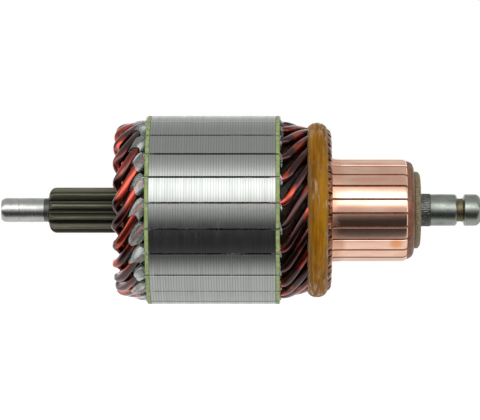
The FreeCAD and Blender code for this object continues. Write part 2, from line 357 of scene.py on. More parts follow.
def soft_square(points: int, power: float) -> Array:
    """Loop between a circle and a square of half width 1: |u|^power + |v|^power = 1.

    Args:
        points: How many points it has.
        power: 2 for a circle, and more for a squarer loop.

    Returns:
        Rows of (u, v).
    """
    turn = np.linspace(0, FULL_TURN, points, endpoint=False)
    c, s = np.cos(turn), np.sin(turn)
    size = (np.abs(c) ** power + np.abs(s) ** power) ** (-1 / power)
    return np.column_stack([c * size, s * size])


def make_piece(name: str, patch: Patch, finish: Material,
               nodes: Sequence[str], crease: float = 32.0, flow: Optional[Array] = None) -> None:
    """Mesh object of a patch, dressed, carried by the root body and standing for its nodes.

    Args:
        name: Name of the piece.
        patch: Its surface in millimetres.
        finish: Material.
        nodes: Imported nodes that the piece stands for.
        crease: Angle in degrees past which an edge stays sharp.
        flow: For each point, the way along a run and the place in its section, in millimetres.
    """
    mesh = bpy.data.meshes.new(name)
    corners = np.concatenate([patch.quads.ravel(), patch.triangles.ravel()]).astype(np.int32)
    sizes = np.repeat([4, 3], [len(patch.quads), len(patch.triangles)])
    starts = np.concatenate([[0], np.cumsum(sizes)[:-1]]).astype(np.int32)
    mesh.vertices.add(len(patch.points))
    mesh.vertices.foreach_set("co", (patch.points * MM).astype(np.float32).ravel())
    mesh.loops.add(len(corners))
    mesh.loops.foreach_set("vertex_index", corners)
    mesh.polygons.add(len(sizes))
    mesh.polygons.foreach_set("loop_start", starts)
    mesh.update(calc_edges=True)
    mesh.validate()
    mesh.shade_smooth()
    mesh.set_sharp_from_angle(angle=math.radians(crease))
    mesh.materials.append(finish)
    if flow is not None:
        attribute = mesh.attributes.new(FLOW, "FLOAT_VECTOR", "POINT")
        attribute.data.foreach_set("vector", flow.astype(np.float32).ravel())
    piece = bpy.data.objects.new(name, mesh)
    bpy.context.scene.collection.objects.link(piece)
    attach(piece, BODY)
    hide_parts(*nodes)
    LOG.info("%s: %d faces", name, len(sizes))


# Materials


class Nodes:
    """A node tree, with short calls for the nodes that its users share."""

    def __init__(self, tree: bpy.types.NodeTree) -> None:
        """Start with the tree emptied."""
        self.tree = tree
        self.tree.nodes.clear()

    def add(self, kind: str, inputs: dict, **settings: object) -> bpy.types.Node:
        """New node.

        Args:
            kind: Its type.
            inputs: Constants or sockets for its inputs, by name or number.
            settings: Its own settings.

        Returns:
            The node.
        """
        node = self.tree.nodes.new(kind)
        for key, value in settings.items():
            setattr(node, key, value)
        for key, value in inputs.items():
            self.feed(node.inputs[key], value)
        return node

    def feed(self, socket: Socket, value: object) -> None:
        """Link a socket to an input, or set the input to a constant.

        Args:
            socket: The input.
            value: A constant, or the socket that feeds the input.
        """
        if isinstance(value, Socket):
            self.tree.links.new(value, socket)
        else:
            socket.default_value = value

    def maths(self, operation: str, a: object, b: object = 0.0) -> Socket:
        """Result of a sum or function of two values."""
        return self.add("ShaderNodeMath", {0: a, 1: b}, operation=operation).outputs[0]


class Graph(Nodes):
    """The node tree of a new material, with a Principled shader on its output."""

    def __init__(self, name: str) -> None:
        """Make the material.

        Args:
            name: Name of the material.
        """
        self.material = bpy.data.materials.new(name)
        self.material.use_nodes = True
        super().__init__(self.material.node_tree)
        self.shader = self.add("ShaderNodeBsdfPrincipled", {})
        self.add("ShaderNodeOutputMaterial", {"Surface": self.shader.outputs["BSDF"]})

    def surface(self, **inputs: object) -> Material:
        """Set the shader's inputs, named with underscores for spaces.

        Args:
            inputs: Constants or sockets.

        Returns:
            The material.
        """
        for key, value in inputs.items():
            self.feed(self.shader.inputs[key.replace("_", " ")], value)
        return self.material

    def place(self) -> Socket:
        """Position on the object."""
        return self.add("ShaderNodeTexCoord", {}).outputs["Object"]

    def axes(self) -> Sequence[Socket]:
        """Position's x, y and z as three sockets."""
        return self.add("ShaderNodeSeparateXYZ", {0: self.place()}).outputs

    def x(self) -> Socket:
        """Position along the shaft, in metres."""
        return self.axes()[0]

    def radius(self) -> Socket:
        """Distance from the shaft's axis, in metres.

        Returns:
            The distance.
        """
        _, y, z = self.axes()
        square = self.maths("ADD", self.maths("MULTIPLY", y, y), self.maths("MULTIPLY", z, z))
        return self.maths("SQRT", square)

    def noise(self, vector: Socket, waves: Pair, detail: float, rough: float) -> Socket:
        """Smooth noise from 0 to 1.

        Args:
            vector: Where it is read.
            waves: Factors on the vector's first axis and on its other two.
            detail: Finer layers of it.
            rough: Their strength.

        Returns:
            Its value.
        """
        factors = (waves[0], waves[1], waves[1])
        scaled = self.add("ShaderNodeVectorMath", {0: vector, 1: factors}, operation="MULTIPLY").outputs[0]
        inputs = {"Vector": scaled, "Scale": 1.0, "Detail": detail, "Roughness": rough}
        return self.add("ShaderNodeTexNoise", inputs).outputs[0]

    def cloud(self, along: float, across: float, detail: float, rough: float) -> Socket:
        """Noise in space, in waves a metre along the shaft and across it."""
        return self.noise(self.place(), (along, across), detail, rough)

    def drift(self, along: float, across: float, detail: float, rough: float) -> Socket:
        """Noise on the piece's own flow, in waves a millimetre along its run and across it."""
        flow = self.add("ShaderNodeAttribute", {}, attribute_name=FLOW).outputs["Vector"]
        return self.noise(flow, (along, across), detail, rough)

    def span(self, value: object, low: float, high: float, start: float = 0.0, end: float = 1.0) -> Socket:
        """Value carried smoothly from low..high to start..end, and held beyond them."""
        inputs = {"Value": value, "From Min": low, "From Max": high, "To Min": start, "To Max": end}
        return self.add("ShaderNodeMapRange", inputs, interpolation_type="SMOOTHSTEP").outputs[0]

    def blend(self, share: object, low: object, high: object) -> Socket:
        """Colour between two colours or sockets."""
        return self.add("ShaderNodeMix", {0: share, 6: low, 7: high}, data_type="RGBA").outputs[2]

    def bump(self, height: object, depth: float) -> Socket:
        """Normal from a height of 0 to 1, with its depth in millimetres."""
        inputs = {"Height": height, "Distance": depth * MM, "Strength": 1.0}
        return self.add("ShaderNodeBump", inputs).outputs[0]


@dataclass(frozen=True)
class GroundSteel:
    """Steel with fine rings of grinding round the shaft."""

    name: str
    colour: Colour
    dull_colour: Colour
    roughness: float = 0.26
    rings_per_m: float = 5200.0
    ring_depth: float = 0.012
    ring_waves: Triple = (40, 2, 0.7)
    ring_roughness: Pair = (0.05, 0.08)
    stains: Waves = (240, 300, 4, 0.6)
    dulled: Pair = (0.35, 0.75)
    stain_roughness: Span = (0.45, 0.8, 0.0, 0.12)

    def material(self) -> Material:
        """Rings of noise along x over slow cloudy stains.

        Returns:
            The material.
        """
        graph = Graph(self.name)
        rings = graph.cloud(self.rings_per_m, *self.ring_waves)
        stains = graph.cloud(*self.stains)
        colour = graph.blend(graph.span(stains, *self.dulled), self.colour, self.dull_colour)
        low, high = self.roughness - self.ring_roughness[0], self.roughness + self.ring_roughness[1]
        rough = graph.maths("ADD", graph.span(rings, *MIDDLE, low, high),
                            graph.span(stains, *self.stain_roughness))
        return graph.surface(Base_Color=colour, Metallic=1.0, Roughness=rough,
                             Normal=graph.bump(rings, self.ring_depth))


class Steel(Enum):
    """Ground steels of the shaft."""

    BRIGHT = GroundSteel("bright_steel", photo_colour(196, 197, 194), photo_colour(168, 170, 166))
    GREY = GroundSteel("grey_steel", photo_colour(162, 166, 158), photo_colour(126, 132, 126))
    ROUGH = GroundSteel("rough_steel", photo_colour(116, 120, 114), photo_colour(70, 73, 68),
                        roughness=0.36, rings_per_m=1800.0, ring_depth=0.05)
    GRIMY = GroundSteel("grimy_steel", photo_colour(122, 112, 82), photo_colour(70, 64, 48),
                        roughness=0.4, rings_per_m=2600.0, ring_depth=0.02)


@dataclass(frozen=True)
class PhosphatedSteel:
    """Dark olive coat on the pinion, rubbed pale on the crests of the teeth, with painted shade in the roots.
    """

    name: str = "phosphated_steel"
    coat: Colour = photo_colour(76, 75, 62)
    # Painted shade: the coat darkened down in the tooth roots
    root_shade: Colour = photo_colour(56, 56, 46)
    rubbed: Colour = photo_colour(120, 118, 100)
    root_radius: float = 4.6
    flank_radius: float = 6.1
    crest_radius: float = 6.62
    streaks: Waves = (160, 2600, 3, 0.6)
    grain: Waves = (5200, 5200, 2, 0.5)
    wear: Span = (0.3, 0.75, 0.1, 0.75)
    metal: float = 0.7
    roughness: Pair = (0.34, 0.5)
    relief: float = 0.012

    def material(self) -> Material:
        """Colour by distance from the axis, with painted shade towards the roots, broken by noise drawn out
        along the teeth.

        Returns:
            The material.
        """
        graph = Graph(self.name)
        radius = graph.radius()
        streaks, grain = graph.cloud(*self.streaks), graph.cloud(*self.grain)
        # Painted shade: from the flanks down to the roots the coat turns to the darker root colour
        depth = graph.span(radius, self.root_radius * MM, self.flank_radius * MM)
        low = graph.blend(depth, self.root_shade, self.coat)
        crest = graph.span(radius, self.flank_radius * MM, self.crest_radius * MM)
        worn = graph.maths("MULTIPLY", crest, graph.span(streaks, *self.wear))
        return graph.surface(Base_Color=graph.blend(worn, low, self.rubbed), Metallic=self.metal,
                             Roughness=graph.span(grain, *MIDDLE, *self.roughness),
                             Normal=graph.bump(graph.maths("ADD", streaks, grain), self.relief))


@dataclass(frozen=True)
class LaminatedSteel:
    """Turned edges of a stack of thin sheets, each with its own tone and a dark joint."""

    pitch: float
    start: float
    name: str = "laminated_steel"
    pale: Colour = photo_colour(172, 174, 171)
    grey: Colour = photo_colour(163, 166, 163)
    joint: Colour = photo_colour(74, 77, 76)
    joint_share: float = 0.14
    joint_strength: float = 0.45
    smear: Waves = (500, 120, 4, 0.6)
    smeared: Pair = (0.3, 1.0)
    smear_roughness: Span = (0.35, 0.75, 0.0, 0.05)
    turning: Waves = (6000, 60, 2, 0.6)
    roughness: Pair = (0.2, 0.24)
    relief: float = 0.005

    def material(self) -> Material:
        """The sheet's number picks its tone, and the place within the sheet draws its joint.

        Returns:
            The material.
        """
        graph = Graph(self.name)
        x = graph.x()
        sheets = graph.maths("DIVIDE", graph.maths("SUBTRACT", x, self.start * MM), self.pitch * MM)
        number = graph.maths("FLOOR", sheets)
        tone = graph.add("ShaderNodeTexWhiteNoise", {"W": number}, noise_dimensions="1D").outputs[0]
        within = graph.maths("ABSOLUTE", graph.maths("SUBTRACT", graph.maths("FRACT", sheets), 0.5))
        joint = graph.span(within, 0.5 - self.joint_share, 0.5)
        smear, turning = graph.cloud(*self.smear), graph.cloud(*self.turning)
        metal = graph.blend(graph.maths("MULTIPLY", tone, graph.span(smear, *MIDDLE, *self.smeared)),
                            self.pale, self.grey)
        rough = graph.maths("ADD", graph.span(tone, 0.0, 1.0, *self.roughness),
                            graph.span(smear, *self.smear_roughness))
        joined = graph.blend(graph.maths("MULTIPLY", joint, self.joint_strength), metal, self.joint)
        return graph.surface(Base_Color=joined, Metallic=1.0, Roughness=rough,
                             Normal=graph.bump(turning, self.relief))


@dataclass(frozen=True)
class MottledBoard:
    """Matte board, pressed or moulded, with mottled colour and a fine grain."""

    name: str
    pale: Colour
    dark: Colour
    mottle: Waves
    mottled: Pair = MIDDLE
    grain: Waves = (7000, 2400, 3, 0.6)
    roughness: Pair = (0.45, 0.7)
    grain_depth: float = 0.03

    def material(self) -> Material:
        """One noise mottles the colour and a finer one gives the grain.

        Returns:
            The material.
        """
        graph = Graph(self.name)
        mottle = graph.span(graph.cloud(*self.mottle), *self.mottled)
        grain = graph.cloud(*self.grain)
        return graph.surface(Base_Color=graph.blend(mottle, self.pale, self.dark),
                             Roughness=graph.span(grain, *WIDE, *self.roughness),
                             Normal=graph.bump(grain, self.grain_depth))


class Board(Enum):
    """Boards of the armature."""

    GREEN = MottledBoard("green_fibre", photo_colour(130, 142, 90), photo_colour(94, 110, 62),
                         mottle=(900, 900, 4, 0.7))
    TAN = MottledBoard("tan_fibre", photo_colour(122, 108, 76), photo_colour(62, 52, 34),
                       mottle=(2600, 2600, 4, 0.7))
    PHENOLIC = MottledBoard("moulded_phenolic", photo_colour(110, 64, 36), photo_colour(66, 40, 26),
                            mottle=(700, 420, 5, 0.7), mottled=(0.35, 0.7), grain=(4200, 3000, 3, 0.6),
                            roughness=(0.35, 0.55), grain_depth=0.02)


@dataclass(frozen=True)
class ClearFilm:
    """Stiff clear film that has gone greyish, with glossy creases."""

    name: str = "clear_film"
    clear: Colour = photo_colour(128, 136, 132)
    cloudy: Colour = photo_colour(194, 199, 197)
    streaks: Waves = (0.16, 0.7, 1, 0.4)
    creases: Waves = (0.3, 0.9, 1, 0.4)
    clouded: Pair = (0.45, 0.7)
    opacity: Span = (0.38, 0.66, 0.2, 0.6)
    roughness: float = 0.12
    coat_roughness: float = 0.04
    coat_index: float = 1.8
    relief: float = 0.2

    def material(self) -> Material:
        """Cloudy streaks raise the opacity of a glossy sheet.

        Returns:
            The material.
        """
        graph = Graph(self.name)
        streaks = graph.drift(*self.streaks)
        colour = graph.blend(graph.span(streaks, *self.clouded), self.clear, self.cloudy)
        return graph.surface(Base_Color=colour, Alpha=graph.span(streaks, *self.opacity),
                             Roughness=self.roughness, Coat_Weight=1.0,
                             Coat_Roughness=self.coat_roughness, Coat_IOR=self.coat_index,
                             Normal=graph.bump(graph.drift(*self.creases), self.relief))


@dataclass(frozen=True)
class EnamelledCopper:
    """Formed copper under a glossy red brown enamel, darker on the leads and bare in the riser."""

    riser: float
    leads: float
    name: str = "enamelled_copper"
    bright: Colour = photo_colour(180, 58, 27)
    deep: Colour = photo_colour(56, 18, 18)
    bare: Colour = photo_colour(150, 104, 78)
    lead_stain: float = 0.06
    lead_coat: float = 0.7
    lead_ease: float = 2.0
    bare_ease: float = 0.6
    flow: Waves = (0.16, 0.45, 1, 0.5)
    fine: Waves = (0.5, 3.5, 3, 0.6)
    stained: Pair = (0.37, 0.59)
    metal: float = 0.95
    roughness: Pair = (0.1, 0.17)
    coat_roughness: float = 0.05
    relief: float = 0.03

    def material(self) -> Material:
        """A metal tinted by uneven enamel, under a clear coat.

        Returns:
            The material.
        """
        graph = Graph(self.name)
        flow, fine = graph.drift(*self.flow), graph.drift(*self.fine)
        x = graph.x()
        lead_range = (self.leads * MM, (self.leads + self.lead_ease) * MM)
        on_leads = graph.span(x, *lead_range, 0.0, self.lead_stain)
        coat = graph.span(x, *lead_range, 1.0, self.lead_coat)
        bare = graph.span(x, (self.riser - self.bare_ease) * MM, self.riser * MM)
        stain = graph.span(graph.maths("ADD", flow, on_leads), *self.stained)
        enamel = graph.blend(stain, self.bright, self.deep)
        return graph.surface(Base_Color=graph.blend(bare, enamel, self.bare), Metallic=self.metal,
                             Roughness=graph.span(fine, *MIDDLE, *self.roughness),
                             Coat_Weight=graph.maths("SUBTRACT", coat, bare),
                             Coat_Roughness=self.coat_roughness, Normal=graph.bump(fine, self.relief))


@dataclass(frozen=True)
class TurnedCopper:
    """Bare copper of the bars: fine turning on the track, duller where the tool stopped."""

    track_start: float
    track_radius: float
    name: str = "turned_copper"
    fresh: Colour = photo_colour(250, 207, 184)
    rosy: Colour = photo_colour(238, 184, 160)
    dull: Colour = photo_colour(236, 180, 154)
    riser_colour: Colour = photo_colour(160, 108, 68)
    riser_dark: Colour = photo_colour(84, 55, 38)
    heat: Colour = photo_colour(230, 150, 84)
    rings: Waves = (7600, 30, 2, 0.7)
    patches: Waves = (90, 260, 3, 0.6)
    rosiness: Pair = (0.35, 0.7)
    unturned: float = 2.4
    ragged: Span = (0.25, 0.75, -1.6 * MM, 1.6 * MM)
    dull_ease: Pair = (1.0, 1.2)
    dull_strength: float = 0.75
    dull_roughness: float = 0.24
    specks: Waves = (900, 900, 3, 0.7)
    speckled: Pair = (0.4, 0.62)
    riser_ease: Pair = (0.3, 1.2)
    roughness: Pair = (0.08, 0.15)
    relief: float = 0.01
    stain_centre: Triple = (108.8, -11.3, -9.7)
    stain_radius: float = 2.6
    stain_core: float = 0.3
    stain_strength: float = 0.7

    def material(self) -> Material:
        """Rings along x, a dull strip past the riser and one warm stain.

        Returns:
            The material.
        """
        graph = Graph(self.name)
        x = graph.x()
        rings, patches, specks = (graph.cloud(*waves) for waves in (self.rings, self.patches, self.specks))
        metal = graph.blend(graph.span(patches, *self.rosiness), self.fresh, self.rosy)
        edge = graph.maths("ADD", x, graph.span(patches, *self.ragged))
        stop = (self.track_start + self.unturned) * MM
        dull = graph.span(edge, stop - self.dull_ease[0] * MM, stop + self.dull_ease[1] * MM, 1.0, 0.0)
        centre = tuple(value * MM for value in self.stain_centre)
        away = graph.add("ShaderNodeVectorMath", {0: graph.place(), 1: centre},
                         operation="DISTANCE").outputs["Value"]
        stain = graph.span(away, self.stain_core * self.stain_radius * MM, self.stain_radius * MM,
                           self.stain_strength, 0.0)
        plain = graph.blend(graph.maths("MULTIPLY", dull, self.dull_strength), metal, self.dull)
        track = graph.blend(stain, plain, self.heat)
        riser = graph.blend(graph.span(specks, *self.speckled), self.riser_colour, self.riser_dark)
        low, high = ((self.track_radius + ease) * MM for ease in self.riser_ease)
        on_riser = graph.span(graph.radius(), low, high)
        worn = graph.maths("MULTIPLY", graph.maths("MAXIMUM", dull, on_riser), self.dull_roughness)
        rough = graph.maths("ADD", graph.span(rings, *MIDDLE, *self.roughness), worn)
        return graph.surface(Base_Color=graph.blend(on_riser, track, riser), Metallic=1.0,
                             Roughness=rough, Normal=graph.bump(rings, self.relief))


@dataclass(frozen=True)
class WoundResin:
    """Amber resin over wound cord, greyer where it thins out at its two rims."""

    centre: float
    name: str = "wound_resin"
    golden: Colour = photo_colour(130, 88, 3)
    brown: Colour = photo_colour(94, 57, 3)
    rim: Colour = photo_colour(104, 84, 56)
    rim_from: float = 1.9
    rim_to: float = 3.0
    rim_ragged: float = 0.5
    cords: Waves = (1500, 60, 3, 0.6)
    cloud: Waves = (180, 70, 4, 0.6)
    browned: Pair = (0.38, 0.62)
    relief: float = 0.12
    roughness: float = 0.5
    gloss: float = 0.05
    streaks: Waves = (1250, 210, 1, 0.5)
    wet: Span = (0.54, 0.68, 0.08, 1.0)
    coat_roughness: float = 0.03
    coat_index: float = 1.6
    pools: Waves = (900, 330, 0, 0.3)
    pool_relief: float = 0.25

    def material(self) -> Material:
        """Streaks run round the band, and the colour turns with the distance from its middle.

        Returns:
            The material.
        """
        graph = Graph(self.name)
        cords, cloud, pools, streaks = (graph.cloud(*waves) for waves in
                                        (self.cords, self.cloud, self.pools, self.streaks))
        both = graph.maths("ADD", graph.maths("MULTIPLY", cords, 0.5), graph.maths("MULTIPLY", cloud, 0.5))
        body = graph.blend(graph.span(both, *self.browned), self.golden, self.brown)
        away = graph.maths("ABSOLUTE", graph.maths("SUBTRACT", graph.x(), self.centre * MM))
        ragged = graph.span(cloud, *WIDE, -self.rim_ragged * MM, self.rim_ragged * MM)
        rim = graph.span(graph.maths("ADD", away, ragged), self.rim_from * MM, self.rim_to * MM)
        return graph.surface(Base_Color=graph.blend(rim, body, self.rim), Roughness=self.roughness,
                             Specular_IOR_Level=self.gloss, Coat_Weight=graph.span(streaks, *self.wet),
                             Coat_Roughness=self.coat_roughness, Coat_IOR=self.coat_index,
                             Coat_Normal=graph.bump(pools, self.pool_relief),
                             Normal=graph.bump(graph.maths("ADD", cords, cloud), self.relief))


@dataclass(frozen=True)
class VarnishWithPaintedShade:
    """Thick brown black varnish with a wet gloss, near black also to paint the shade in the gaps between the
    wires.
    """

    name: str = "varnish_painted_shade"
    thin: Colour = photo_colour(48, 26, 20)
    # Near black: partly thick varnish, partly painted shade in the gaps between the wires
    thick: Colour = photo_colour(16, 17, 14)
    depth: Waves = (240, 300, 4, 0.6)
    thinned: Pair = (0.4, 0.65)
    ripple: Waves = (700, 900, 2, 0.5)
    relief: float = 0.3
    roughness: float = 0.3
    gloss: float = 0.08
    coat: float = 0.16
    coat_roughness: float = 0.04

    def material(self) -> Material:
        """Slow noise for the thickness, and small ripples on the surface.

        Returns:
            The material.
        """
        graph = Graph(self.name)
        depth = graph.span(graph.cloud(*self.depth), *self.thinned)
        return graph.surface(Base_Color=graph.blend(depth, self.thick, self.thin), Roughness=self.roughness,
                             Specular_IOR_Level=self.gloss, Coat_Weight=self.coat,
                             Coat_Roughness=self.coat_roughness,
                             Normal=graph.bump(graph.cloud(*self.ripple), self.relief))


# Sub-assemblies


@dataclass
class Shaft:
    """Ground steel shaft: journals, sun pinion, knurl, clip groove and end knob, in millimetres."""

    drive_end: float = packed("shaft", 0)
    commutator_end: float = packed("shaft", 1)
    core_start: float = packed("drive_end_fibre", 0)
    washer_end: float = packed("commutator_end_washer", 1)
    drive_journal_r: float = 3.5
    journal_length: float = 12.6
    neck_length: float = 1.4
    scribed_lines: Sequence[Pair] = ((5.3, 0.12), (9.3, 0.05), (10.0, 0.04))
    teeth: int = 11
    module: float = 1.0
    shift: float = 0.175
    pressure_angle: float = 20.0
    dedendum: float = 1.25
    pinion_end_gap: float = 6.4
    lead_in: float = 2.25
    lead_in_r: float = 4.0
    first_tooth: float = 4.8
    seat_r: float = 6.0
    knurl_r: float = 4.78
    knurl_length: float = 3.0
    knurl_ridges: int = 48
    end_journal_r: float = 4.6
    groove_r: float = 3.35
    groove_length: float = 2.1
    knob_length: float = 5.0

    def build(self) -> None:
        """Make the stretches of the shaft, which together stand for its one solid."""
        bright, grey, rough, grimy = (steel.value.material() for steel in Steel)
        dark = PhosphatedSteel().material()
        for name, patch, finish in (
            ("shaft_drive_journal", self.drive_journal(), bright),
            ("shaft_neck", self.neck(), rough),
            ("shaft_pinion", self.pinion(), dark),
            ("shaft_knurl", self.knurl(), rough),
            ("shaft_end_journal", self.end_journal(), grey),
            ("shaft_clip_groove", self.clip_groove(), grimy),
            ("shaft_end_knob", self.end_knob(), grey),
        ):
            make_piece(name, patch, finish, ["shaft"], crease=38)

    def drive_journal(self) -> Patch:
        """Journal with an eased end and three fine scribed rings.

        Returns:
            Closed patch.
        """
        r = self.drive_journal_r
        start = self.drive_end
        end = start + self.journal_length
        corners = [(start, 0.02, 0), (start, r - 0.6, 0.3), (start + 1.0, r, 0.6)]
        for place, depth in self.scribed_lines:
            middle = start + place
            corners += [(middle - 0.14, r, 0), (middle - 0.05, r - depth, 0),
                        (middle + 0.05, r - depth, 0), (middle + 0.14, r, 0)]
        corners += [(end - 0.12, r, 0.05), (end, r - 0.1, 0), (end, 0.02, 0)]
        return turned_bar(corners, 128)

    def neck(self) -> Patch:
        """Unground neck between the journal and the pinion, with a small collar at the teeth.

        Returns:
            Closed patch.
        """
        r = self.drive_journal_r
        start = self.drive_end + self.journal_length
        end = start + self.neck_length
        return turned_bar([
            (start - 0.3, r - 0.14, 0), (start + 0.1, r - 0.06, 0), (end - 0.45, r - 0.06, 0.1),
            (end - 0.3, r + 0.1, 0.08), (end - 0.1, r + 0.1, 0.05), (end + 0.6, r + 0.1, 0),
        ], 112)

    def tooth_outline(self, samples: int = 18) -> Tuple[Array, Array]:
        """Angles and radii round the whole pinion.

        A flank follows the involute of the base circle: at radius r its half angle is the
        half thickness at the pitch circle plus inv(pressure) minus inv(acos(base / r)).

        Args:
            samples: Points on each flank.

        Returns:
            The angles and the radii.
        """
        pitch_r = self.module * self.teeth / 2
        pressure = math.radians(self.pressure_angle)
        base_r = pitch_r * math.cos(pressure)
        tip_r = pitch_r + self.module * (1 + self.shift)
        root_r = pitch_r - self.module * (self.dedendum - self.shift)
        radius = np.linspace(base_r, tip_r, samples)
        local = np.arccos(np.minimum(1, base_r / radius))
        thickness = self.module * (math.pi / 2 + 2 * self.shift * math.tan(pressure))
        half = thickness / (2 * pitch_r) + math.tan(pressure) - pressure - np.tan(local) + local
        foot = np.array([math.pi / self.teeth, half[0] + 0.075, half[0] + 0.02, half[0] + 0.003])
        foot_r = np.array([root_r, root_r, root_r + 0.12, root_r + 0.36])
        land = np.array([half[-1] - 0.012, half[-1] / 2])
        low = np.concatenate([foot, half, land])
        low_r = np.concatenate([foot_r, radius, [tip_r, tip_r]])
        low_r[-3] -= 0.05
        one = np.concatenate([-low, [0], low[::-1][:-1]])
        one_r = np.concatenate([low_r, [tip_r], low_r[::-1][:-1]])
        centres = math.radians(self.first_tooth) + FULL_TURN / self.teeth * np.arange(self.teeth)
        return (centres[:, None] + one).ravel(), np.tile(one_r, self.teeth)

    def pinion(self) -> Patch:
        """Teeth whose ends are rounded down to the neck by an elliptical envelope.

        Returns:
            Closed patch.
        """
        angle, radius = self.tooth_outline()
        start = self.drive_end + self.journal_length + self.neck_length
        tip_r = radius.max()
        turn = np.linspace(0, math.pi / 2, 14)
        lead = start + self.lead_in * (1 - np.cos(turn))
        cap = self.lead_in_r + (tip_r - self.lead_in_r) * np.sin(turn)
        stop = self.core_start - self.pinion_end_gap
        out = stop + np.linspace(0, 1.2, 5)
        stations = np.concatenate([lead, [lead[-1] + 4, stop - 8, stop - 0.05], out])
        limit = np.concatenate([cap, [tip_r] * 3, np.linspace(tip_r, self.seat_r - 0.7, 5)])
        teeth = capped(around(stations, np.minimum(radius, limit[:, None]), angle)).outward()
        seat = turned_bar([(stop + 0.6, self.seat_r - 0.6, 0), (stop + 1.0, self.seat_r, 0.2),
                           (self.core_start + 3, self.seat_r, 0)], 96)
        return together([teeth, seat])

    def knurl(self) -> Patch:
        """Short press knurl: the radius waves round the shaft and fades at its far end.

        Returns:
            Closed patch.
        """
        start = self.washer_end - 1.4
        stations = np.linspace(start, self.washer_end + self.knurl_length, 40)
        angle = np.linspace(0, FULL_TURN, self.knurl_ridges * 6, endpoint=False)
        ends = np.clip((stations[-1] - stations) / 0.35, 0, 1)[:, None]
        wave = 0.022 * np.cos(self.knurl_ridges * angle) + 0.02 * np.sin(29 * angle + 3.1 * stations[:, None])
        radius = self.knurl_r - 0.04 + ends * np.maximum(wave, -0.06) - 0.08 * (1 - ends)
        return capped(around(stations, radius, angle)).outward()

    def end_journal(self) -> Patch:
        """Ground journal from the knurl to the clip groove.

        Returns:
            Closed patch.
        """
        start = self.washer_end + self.knurl_length
        groove = self.commutator_end - self.knob_length - self.groove_length
        r = self.end_journal_r
        return turned_bar([
            (start - 1.0, r - 0.14, 0), (start - 0.04, r - 0.14, 0), (start + 0.05, r, 0.04),
            (groove - 0.4, r, 0.25), (groove + 0.1, r - 0.5, 0.1), (groove + 0.15, 0.02, 0),
        ], 144)

    def clip_groove(self) -> Patch:
        """Bottom of the groove, with its radius easing up at both sides.

        Returns:
            Closed patch.
        """
        knob = self.commutator_end - self.knob_length
        groove = knob - self.groove_length
        r = self.groove_r
        return turned_bar([
            (groove - 0.1, 0.02, 0), (groove - 0.1, r + 0.35, 0), (groove + 0.3, r, 0.25),
            (knob - 0.5, r, 0.25), (knob + 0.1, r + 0.35, 0), (knob + 0.1, 0.02, 0),
        ], 112)

    def end_knob(self) -> Patch:
        """Knob past the groove, with a sloping flank and a well rounded end.

        Returns:
            Closed patch.
        """
        knob = self.commutator_end - self.knob_length
        r = self.end_journal_r
        end = self.commutator_end
        return turned_bar([
            (knob - 0.3, 0.02, 0), (knob - 0.3, self.groove_r + 0.15, 0.05), (knob + 0.25, r, 0.3),
            (end - 1.15, r, 0.6), (end, r - 1.05, 0.6), (end, 0.02, 0),
        ], 144)


